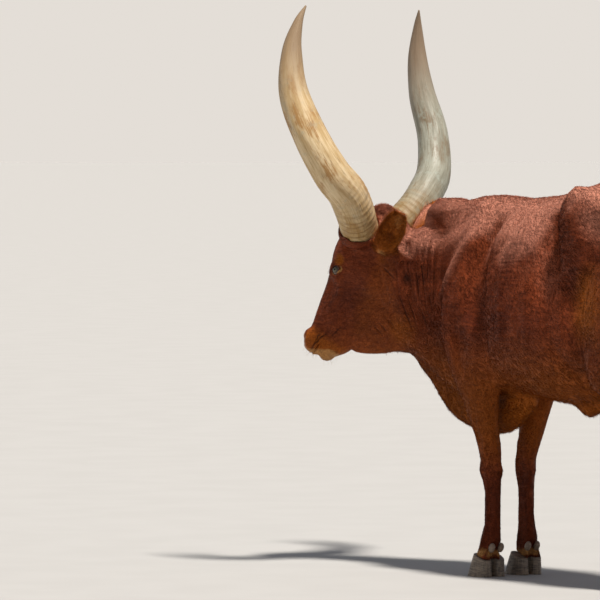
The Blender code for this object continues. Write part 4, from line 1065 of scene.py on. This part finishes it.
def hornLook(name, cool):
    look = Look(name)
    run = look.attribute("run")[1]
    t = look.make("ShaderNodeSeparateXYZ", None, (run,))[2]
    fibres = look.grain(look.stretched(run, scale=(1.0, 1.0, 0.045)), 250.0, 4.0, 0.65)
    broad = look.grain(look.stretched(run, scale=(1.0, 1.0, 0.13)), 42.0, 4.0, 0.65)
    blotch = look.grain(look.stretched(run, scale=(1.0, 1.0, 0.35)), 17.0, 5.0, 0.7)
    rings = look.grain(look.stretched(run, scale=(0.16, 0.16, 1.0)), 75.0, 4.0, 0.65)
    plan = hornPlan["cool" if cool else "warm"]
    base = look.mixed(look.between(broad * 0.6 + fibres * 0.4, 0.36, 0.62), plan["shade"], plan["body"])
    stain = look.between(blotch + (fibres - 0.5) * 0.6, 0.50, 0.66) * look.between(t, 0.55, 1.0, 0.95, 0.35)
    base = look.mixed(stain, base, plan["stain"])
    grey = look.between(look.grain(run, 22.0, 4.0, 0.7), 0.54, 0.70) * plan["weather"]
    base = look.mixed(grey, base, colour(0.30, 0.32, 0.27))
    root = look.between(t, 0.02, 0.26, 1.0, 0.0)
    base = look.mixed(root * 0.55, base, colour(0.36, 0.225, 0.075))
    base = look.mixed(root * look.between(rings, 0.46, 0.58) * 0.80, base, colour(0.22, 0.125, 0.040))
    tip = look.between(t + (broad - 0.5) * 0.20, 0.52, 0.92)
    base = look.mixed(tip * 0.85, base, colour(0.235, 0.155, 0.095))
    crack = look.between(fibres, 0.28, 0.39)
    base = look.mixed(crack, colour(0.17, 0.105, 0.050), base)
    height = fibres * 0.6 + rings * (root * 1.4 + 0.15) + broad * 0.5
    rough = look.between(broad, 0.3, 0.7, 0.66, 0.45)
    return look.finish({"Base Color": base, "Roughness": rough, "Specular IOR Level": 0.35,
                        "Normal": look.bump(height, 0.0020, 0.85)})


# hooves
hoofPlan = {
    "voxel": 0.0022, "ring": 0.0004, "ringStep": 0.0085,
    "dark": colour(0.062, 0.047, 0.036), "light": colour(0.200, 0.155, 0.115),
    "dust": colour(0.26, 0.19, 0.13), "rim": colour(0.20, 0.13, 0.09),
}


def makeHoof(node):
    hoof = joinedCopy([node], "hoof")
    hoof.name = "claw" + "".join(word.capitalize() for word in node.split("_")[1:])
    withModifier(hoof, "REMESH", {"mode": "VOXEL", "voxel_size": hoofPlan["voxel"]})
    mesh = hoof.data
    points, edges = pointsOf(mesh), edgesOf(mesh)
    low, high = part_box(node)
    free = smoothStep(points[:, 2], low[2] + 0.001, low[2] + 0.006)
    points = relaxed(points, edges, free, 5)
    putPoints(mesh, points)
    normals = normalsOf(mesh)
    level = points[:, 2] - low[2] + 0.25 * (points[:, 1] - low[1])
    ring = np.sin(level * 2 * np.pi / hoofPlan["ringStep"])
    points += normals * (hoofPlan["ring"] * (ring - 1) * free * (np.abs(normals[:, 2]) < 0.8))[:, None]
    points = np.clip(points, np.array(low), np.array(high))
    putPoints(mesh, points)
    makeActive(hoof)
    bpy.ops.object.shade_smooth()
    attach(hoof, "root")
    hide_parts(node)
    return hoof


def hoofLook():
    look = Look("hoofKeratin")
    where = look.coordinates()
    z = look.make("ShaderNodeSeparateXYZ", None, (where,))[2]
    bands = look.grain(look.stretched(where, (math.radians(14), 0, 0), (0.12, 0.12, 1.0)), 300.0, 3.0, 0.6)
    fibres = look.grain(look.stretched(where, (math.radians(-30), 0, 0), (1.0, 1.0, 0.1)), 260.0, 3.0, 0.6)
    cloud = look.grain(where, 38.0, 4.0, 0.6)
    dust = look.between(cloud, 0.42, 0.70) * look.between(z, 0.0, 0.05, 0.75, 0.25)
    base = look.mixed(look.between(bands * 0.6 + fibres * 0.4, 0.38, 0.62), hoofPlan["dark"],
                      hoofPlan["light"])
    base = look.mixed(dust, base, hoofPlan["dust"])
    base = look.mixed(look.between(z, 0.060, 0.078) * 0.5, base, hoofPlan["rim"])
    height = bands * 0.7 + fibres * 0.5
    return look.finish({"Base Color": base, "Roughness": look.between(bands, 0.3, 0.7, 0.62, 0.40),
                        "Normal": look.bump(height, 0.0009, 0.8)})


# the coat: tufts that follow the lie of the hair
furPlan = {
    "coatHead": {"count": 46000, "length": (0.0050, 0.0085), "width": 0.0012, "lift": 0.0010, "turn": 14},
    "coatNeck": {"count": 45000, "length": (0.009, 0.015), "width": 0.0019, "lift": 0.0016, "turn": 13},
    "coatTrunkLeft": {"count": 49000, "length": (0.011, 0.018), "width": 0.0023, "lift": 0.0017, "turn": 12},
    "coatTrunkRight": {"count": 49000, "length": (0.011, 0.018), "width": 0.0023, "lift": 0.0017, "turn": 12},
    "coatForelegs": {"count": 42000, "length": (0.007, 0.012), "width": 0.0016, "lift": 0.0013, "turn": 13},
    "coatHindlegs": {"count": 47000, "length": (0.008, 0.014), "width": 0.0019, "lift": 0.0014, "turn": 13},
    "coatTail": {"count": 9000, "length": (0.010, 0.018), "width": 0.0015, "lift": 0.0018, "turn": 10},
}
longHairPlan = {
    "pollHair": {"count": 2600, "length": (0.018, 0.032), "width": 0.0012, "lift": 0.010, "turn": 26},
    "earHair": {"count": 3000, "length": (0.012, 0.026), "width": 0.0009, "lift": 0.006, "turn": 12},
    "dewlapHair": {"count": 4200, "length": (0.014, 0.024), "width": 0.0012, "lift": 0.005, "turn": 14},
    "bellyHair": {"count": 3600, "length": (0.014, 0.026), "width": 0.0013, "lift": 0.006, "turn": 16},
    "spineHair": {"count": 3000, "length": (0.014, 0.024), "width": 0.0013, "lift": 0.004, "turn": 15},
    "pasternHair": {"count": 4200, "length": (0.008, 0.015), "width": 0.0010, "lift": 0.004, "turn": 14},
    "whiskers": {"count": 70, "length": (0.010, 0.022), "width": 0.0004, "lift": 0.012, "turn": 26},
    "lashes": {"count": 150, "length": (0.012, 0.019), "width": 0.0006, "lift": 0.010, "turn": 8},
}
# how far a blade stands off the skin, how far it dips, and half its patch
bladePlan = {"clear": 0.00025, "deepest": 0.0010, "patch": 0.0015}
straightFaces = ((0, 1, 3), (1, 2, 3), (2, 0, 3), (1, 0, 2))
curvedFaces = ((1, 0, 2), (0, 1, 4), (0, 4, 3), (1, 2, 5), (1, 5, 4), (2, 0, 3), (2, 3, 5),
               (3, 4, 6), (4, 5, 6), (5, 3, 6))


def meshFrom(name, points, faces):
    mesh = bpy.data.meshes.new(name)
    mesh.vertices.add(len(points))
    mesh.vertices.foreach_set("co", points.ravel())
    mesh.loops.add(faces.size)
    mesh.loops.foreach_set("vertex_index", faces.astype(np.int32).ravel())
    mesh.polygons.add(len(faces))
    mesh.polygons.foreach_set("loop_start", np.arange(0, faces.size, 3, dtype=np.int32))
    mesh.update(calc_edges=True)
    return mesh


def skinTable(skin, regions, marks, moreMarks):
    # what a tuft takes over from the skin under it
    mesh = skin.data
    triangles = np.empty(len(mesh.polygons) * 3, dtype=np.int32)
    mesh.polygons.foreach_get("vertices", triangles)
    triangles = triangles.reshape(-1, 3)
    points, normals = pointsOf(mesh), normalsOf(mesh)
    corners = points[triangles]
    areas = np.linalg.norm(np.cross(corners[:, 1] - corners[:, 0], corners[:, 2] - corners[:, 0]), axis=1) / 2
    return {"points": points, "normals": normals, "triangles": triangles, "areas": areas,
            "lie": lieOf(points, normals, regions), "marks": marks, "moreMarks": moreMarks,
            "zones": zonesOf(regions)}


def flattened(skin, triangles=14000):
    # a plain copy of the skin laid out flat, so that each root has a place on it
    mesh = skin.data.copy()
    copy = linked(mesh, "flattened")
    copy.vertex_groups.clear()
    withModifier(copy, "DECIMATE", {"ratio": triangles / len(mesh.polygons)})
    withModifier(copy, "TRIANGULATE", {})
    makeActive(copy)
    bpy.ops.object.mode_set(mode="EDIT")
    bpy.ops.mesh.select_all(action="SELECT")
    bpy.ops.uv.smart_project(angle_limit=math.radians(66), island_margin=0.002)
    bpy.ops.object.mode_set(mode="OBJECT")
    mesh = copy.data
    places = np.empty(len(mesh.loops) * 2, dtype=np.float32)
    mesh.uv_layers.active.data.foreach_get("uv", places)
    faces = facesOf(mesh)
    found = {"points": pointsOf(mesh), "faces": np.array(faces), "places": places.reshape(-1, 3, 2),
             "surface": surfaceOf(pointsOf(mesh), faces)}
    bpy.data.objects.remove(copy)
    return found


def flatPlaces(flat, roots):
    number = np.empty(len(roots), dtype=int)
    for k in range(len(roots)):
        number[k] = flat["surface"].find_nearest(roots[k])[2]
    first, second, third = (flat["points"][flat["faces"][number, corner]] for corner in range(3))
    across, along, away = second - first, third - first, roots - first
    aa, ab, bb = ((m * n).sum(axis=1) for m, n in ((across, across), (across, along), (along, along)))
    pa, pb = ((away * m).sum(axis=1) for m in (across, along))
    scale = np.maximum(aa * bb - ab * ab, 1e-14)
    v = np.clip((bb * pa - ab * pb) / scale, 0, 1)
    w = np.clip((aa * pb - ab * pa) / scale, 0, 1 - v)
    share = np.stack([1 - v - w, v, w], axis=1)
    return (flat["places"][number] * share[:, :, None]).sum(axis=1)


def tufted(name, plan, weight, table, flat, curved=False, outward=0.0):
    # one closed slender blade for each root, laid along the skin
    count = plan["count"]
    share = table["areas"] * weight[table["triangles"]].mean(axis=1)
    running = np.cumsum(share)
    picked = np.searchsorted(running, random.random(count) * running[-1])
    a, b = random.random((2, count))
    over = a + b > 1
    a[over], b[over] = 1 - a[over], 1 - b[over]
    corner = np.stack([1 - a - b, a, b], axis=1)[:, :, None]

    def atRoots(values):
        return (values[table["triangles"][picked]] * corner).sum(axis=1)

    root, normal = atRoots(table["points"]), unit(atRoots(table["normals"]))
    lie = unit(atRoots(table["lie"]))
    side = np.cross(lie, normal)
    angle = random.normal(0.0, math.radians(plan["turn"]), count)[:, None]
    lie = unit(lie * np.cos(angle) + side * np.sin(angle) + normal * outward)
    side = unit(np.cross(lie, normal))
    length = random.uniform(*plan["length"], count)[:, None]
    half = side * (plan["width"] / 2) * random.uniform(0.7, 1.2, count)[:, None]
    lift = normal * plan["lift"] * random.uniform(0.5, 1.4, count)[:, None]
    deep = normal * min(plan["width"] * 0.6, bladePlan["deepest"])
    base = root + normal * bladePlan["clear"]
    tip = root + lie * length + lift
    if curved:
        middle = root + lie * length * 0.5 + lift * 0.72
        corners = [base - half, base + half, base - deep, middle - half * 0.8, middle + half * 0.8,
                   middle - deep * 0.7, tip]
        heights = (0.0, 0.0, 0.0, 0.5, 0.5, 0.5, 1.0)
        pattern = np.array(curvedFaces)
    else:
        corners = [base - half, base + half, base - deep, tip]
        heights = (0.0, 0.0, 0.0, 1.0)
        pattern = np.array(straightFaces)
    step = len(corners)
    points = np.stack(corners, axis=1).reshape(-1, 3)
    faces = (pattern[None] + step * np.arange(count)[:, None, None]).reshape(-1, 3)
    mesh = meshFrom(name, points, faces)
    for key in ("marks", "moreMarks", "zones"):
        putColours(mesh, key, np.repeat(atRoots(table[key]), step, axis=0))
    shade = np.repeat(random.random(count), step)
    tuft = np.stack([np.tile(heights, count), shade, np.zeros(len(shade))], axis=1)
    putVectors(mesh, "tuft", tuft)
    # each tuft has a small patch of its own at its root's place
    patch = {4: ((-1, -1), (1, -1), (0, -0.6), (0, 1)),
             7: ((-1, -1), (1, -1), (0, -0.8), (-0.8, 0), (0.8, 0), (0, 0.1), (0, 1))}[step]
    places = flatPlaces(flat, root)[:, None, :] + bladePlan["patch"] * np.array(patch)[None]
    putPlaces(mesh, places, faces)
    return linked(mesh, name)


def furWeights(points, normals, regions, marks):
    # where each kind of hair grows
    shares = dict(zip(fleshNodes, regions.T))
    own = points - shift
    x, y, z = own.T
    ears = shares["ear_left"] + shares["ear_right"]
    fore, hind = (sum(shares[limb + part + side] for part in ("_upper_", "_lower_")
                      for side in ("left", "right"))
                  for limb in ("foreleg", "hindleg"))
    haired = 1 - smoothStep(marks[:, 3], 0.2, 0.5)
    lids, lash, inner = np.zeros(len(points)), np.zeros(len(points)), np.zeros(len(points))
    for s, ear in ((1, "ear_left"), (-1, "ear_right")):
        u, v, w = lidFrame(points, s)
        rho = roundLid(u, v)
        lids = np.maximum(lids, (rho < 1.35) * (w > 0))
        lash = np.maximum(lash, (np.abs(rho - 1.16) < 0.12) * (w > 0) * (v > 0.002))
        inner = np.maximum(inner, shares[ear] * earFrame(points, normals, s)[2])
    haired = haired * (1 - lids)
    under = smoothStep(-normals[:, 2], 0.35, 0.8)
    middle = 1 - smoothStep(np.abs(x), 0.03, 0.08)
    low = 1 - smoothStep(z, 0.12, 0.20)
    return {
        "coatHead": (shares["head"] + 0.7 * ears) * haired,
        "coatNeck": shares["neck"],
        "coatTrunkLeft": shares["torso"] * (x > 0),
        "coatTrunkRight": shares["torso"] * (x <= 0),
        "coatForelegs": fore,
        "coatHindlegs": hind,
        "coatTail": shares["tail"],
        "pollHair": reach(points, byHead(-0.01, 0.0, -0.01), (0.085, 0.085, 0.08)) * haired,
        "earHair": inner + 0.25 * ears,
        "dewlapHair": ((shares["neck"] + shares["torso"]) * middle * (y < 0.25) * (z < 1.10)
                       * (normals[:, 2] < 0.3)),
        "bellyHair": shares["torso"] * under * (y > 0.2),
        "spineHair": (shares["neck"] + shares["torso"]) * middle * smoothStep(normals[:, 2], 0.6, 0.9),
        "pasternHair": (fore + hind) * low,
        "whiskers": shares["head"] * smoothStep((points - poll) @ downFace, 0.50, 0.60) * (0.3 + under),
        "lashes": lash,
    }


def joinedPieces(pieces, name):
    makeActive(pieces[0])
    for piece in pieces:
        piece.select_set(True)
    bpy.ops.object.join()
    pieces[0].name = name
    return pieces[0]


# the tail's switch
switchPlan = {"strands": 460, "stations": 13, "thickness": 0.0021, "thinnest": 0.0002, "rise": 0.085,
              "ragged": 0.17, "across": 24, "dark": colour(0.018, 0.0065, 0.0045),
              "light": colour(0.085, 0.026, 0.012)}


def makeSwitch():
    low, high = (np.array(corner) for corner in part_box("tail_switch"))
    tail = np.array([point.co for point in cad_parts["tail"].data.vertices])
    core = tail[tail[:, 2] < tail[:, 2].min() + 0.02].mean(axis=0)
    middle, half = (low + high) / 2, (high - low) / 2 - 0.002
    count, stations = switchPlan["strands"], switchPlan["stations"]
    angle, spreadOut, start, stop, wave = random.random((5, count))
    angle = angle * 2 * math.pi
    top = min(core[2] + 0.02, high[2] - 0.004) - start * switchPlan["rise"]
    end = low[2] + 0.002 + stop ** 2 * switchPlan["ragged"]
    corners = []
    for n in range(stations):
        t = n / (stations - 1)
        sideways = 0.26 + 0.60 * math.sin(math.pi * t ** 0.75) * spreadOut ** 0.5 * (1 - 0.35 * t)
        swing = angle + 0.55 * np.sin(3.0 * t + wave * 6.3) * t
        heart = core * (1 - min(t * 2, 1)) + middle * min(t * 2, 1)
        x = heart[0] + np.cos(swing) * sideways * half[0] + 0.05 * half[0] * np.sin(t * 9 + wave * 12) * t
        y = heart[1] + np.sin(swing) * sideways * half[1] + 0.05 * half[1] * np.cos(t * 8 + wave * 9) * t
        z = top + (end - top) * t
        here = np.clip(np.stack([x, y, z], axis=1), low + 0.001, high - 0.001)
        swell = (0.55 + 0.45 * math.sin(math.pi * min(t + 0.25, 1))) * (1 - t ** 3)
        thick = switchPlan["thickness"] * swell + switchPlan["thinnest"]
        for turn in range(3):
            way = np.array((math.cos(turn * 2.0944), math.sin(turn * 2.0944), 0.0))
            corners.append(here + way * thick / 2)
    points = np.stack(corners, axis=1).reshape(-1, 3)
    pattern = [(2, 1, 0), (stations * 3 - 3, stations * 3 - 2, stations * 3 - 1)]
    for n in range(stations - 1):
        for turn in range(3):
            a, b = 3 * n + turn, 3 * n + (turn + 1) % 3
            pattern += [(a, a + 3, b), (b, a + 3, b + 3)]
    pattern = np.array(pattern)
    step = stations * 3
    faces = (pattern[None] + step * np.arange(count)[:, None, None]).reshape(-1, 3)
    mesh = meshFrom("tailSwitch", points, faces)
    along = np.tile(np.repeat(np.linspace(0, 1, stations), 3), count)
    tuft = np.stack([along, np.repeat(random.random(count), step), np.zeros(len(along))], axis=1)
    putVectors(mesh, "tuft", tuft)
    across, number = switchPlan["across"], np.arange(count)
    grid = np.stack([(number % across + 0.5) / across, (number // across + 0.5) / across], axis=1)
    spot = np.stack([np.tile((-1.0, 0.0, 1.0), stations), np.repeat(np.linspace(-1, 1, stations), 3)], axis=1)
    places = grid[:, None, :] + bladePlan["patch"] * spot[None]
    putPlaces(mesh, places, faces)
    piece = linked(mesh, "tailSwitch")
    facedOut(piece)
    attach(piece, "root")
    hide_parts("tail_switch")
    return piece


def switchLook():
    look = Look("switchHair")
    along, shade = look.make("ShaderNodeSeparateXYZ", None, (look.attribute("tuft")[1],))[:2]
    streak = look.grain(look.stretched(look.coordinates(), scale=(1.0, 1.0, 0.06)), 380.0, 2.0, 0.6)
    tone = look.between(shade * 0.7 + streak * 0.5 + along * 0.15, 0.25, 1.05)
    base = look.mixed(tone, switchPlan["dark"], switchPlan["light"])
    return look.finish({"Base Color": base, "Roughness": look.between(streak, 0.3, 0.7, 0.55, 0.38),
                        "Specular IOR Level": 0.25, "Specular Tint": colour(1.0, 0.75, 0.62)})


def finishWith(pieces, material):
    for piece in pieces:
        piece.data.materials.clear()
        piece.data.materials.append(material)


# the making
floor = makeStudio()
floorLook = Look("studioFloor")
speckle = floorLook.grain(floorLook.coordinates(), 3.0, 2.0, 0.5)
finishWith([floor], floorLook.finish({
    "Base Color": floorLook.mixed(floorLook.between(speckle, 0.3, 0.7), colour(0.44, 0.43, 0.415),
                                  colour(0.455, 0.445, 0.43)),
    "Roughness": 0.85}))
print("studio ready")

skin = makeSkin()
points = pointsOf(skin.data)
edges = edgesOf(skin.data)
normals = normalsOf(skin.data)
regions = spread(regionShares(points), edges, 24)
marks, moreMarks = markings(points, normals, regions, surfaceOf(points, facesOf(skin.data)))
putColours(skin.data, "marks", marks)
putColours(skin.data, "moreMarks", moreMarks)
putColours(skin.data, "zones", zonesOf(regions))
finishWith([skin], coatLook("coatSkin"))
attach(skin, "root")
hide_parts(*fleshNodes)
print("skin finished:", len(skin.data.polygons), "faces")

finishWith([makeEye(1, "eyeLeft"), makeEye(-1, "eyeRight")], eyeLook())
finishWith([makeHorn(1, "hornLeft")], hornLook("hornWarm", False))
# the far horn takes the darker colours: painted shade
finishWith([makeHorn(-1, "hornRight")], hornLook("hornCool", True))
print("eyes and horns ready")

hooves = [makeHoof(node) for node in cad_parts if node.startswith("hoof_")]
finishWith(hooves, hoofLook())
print("hooves ready:", len(hooves))

table = skinTable(skin, regions, marks, moreMarks)
flat = flattened(skin)
weights = furWeights(points, normals, regions, marks)
coat = []
for name, plan in furPlan.items():
    coat.append(tufted(name, plan, weights[name], table, flat))
    print("tufts laid:", name)
longHair = {}
for name, plan in longHairPlan.items():
    outward = 1.2 if name in ("whiskers", "lashes") else 0.0
    longHair[name] = tufted(name, plan, weights[name], table, flat, True, outward)
for name, parts in (("hairOfHead", ("pollHair", "earHair", "whiskers", "lashes")),
                    ("hairOfBody", ("dewlapHair", "bellyHair", "spineHair", "pasternHair"))):
    coat.append(joinedPieces([longHair[part] for part in parts], name))
finishWith(coat, coatLook("coatHair", True))
for piece in coat:
    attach(piece, "root")
finishWith([makeSwitch()], switchLook())
print("coat and switch finished")
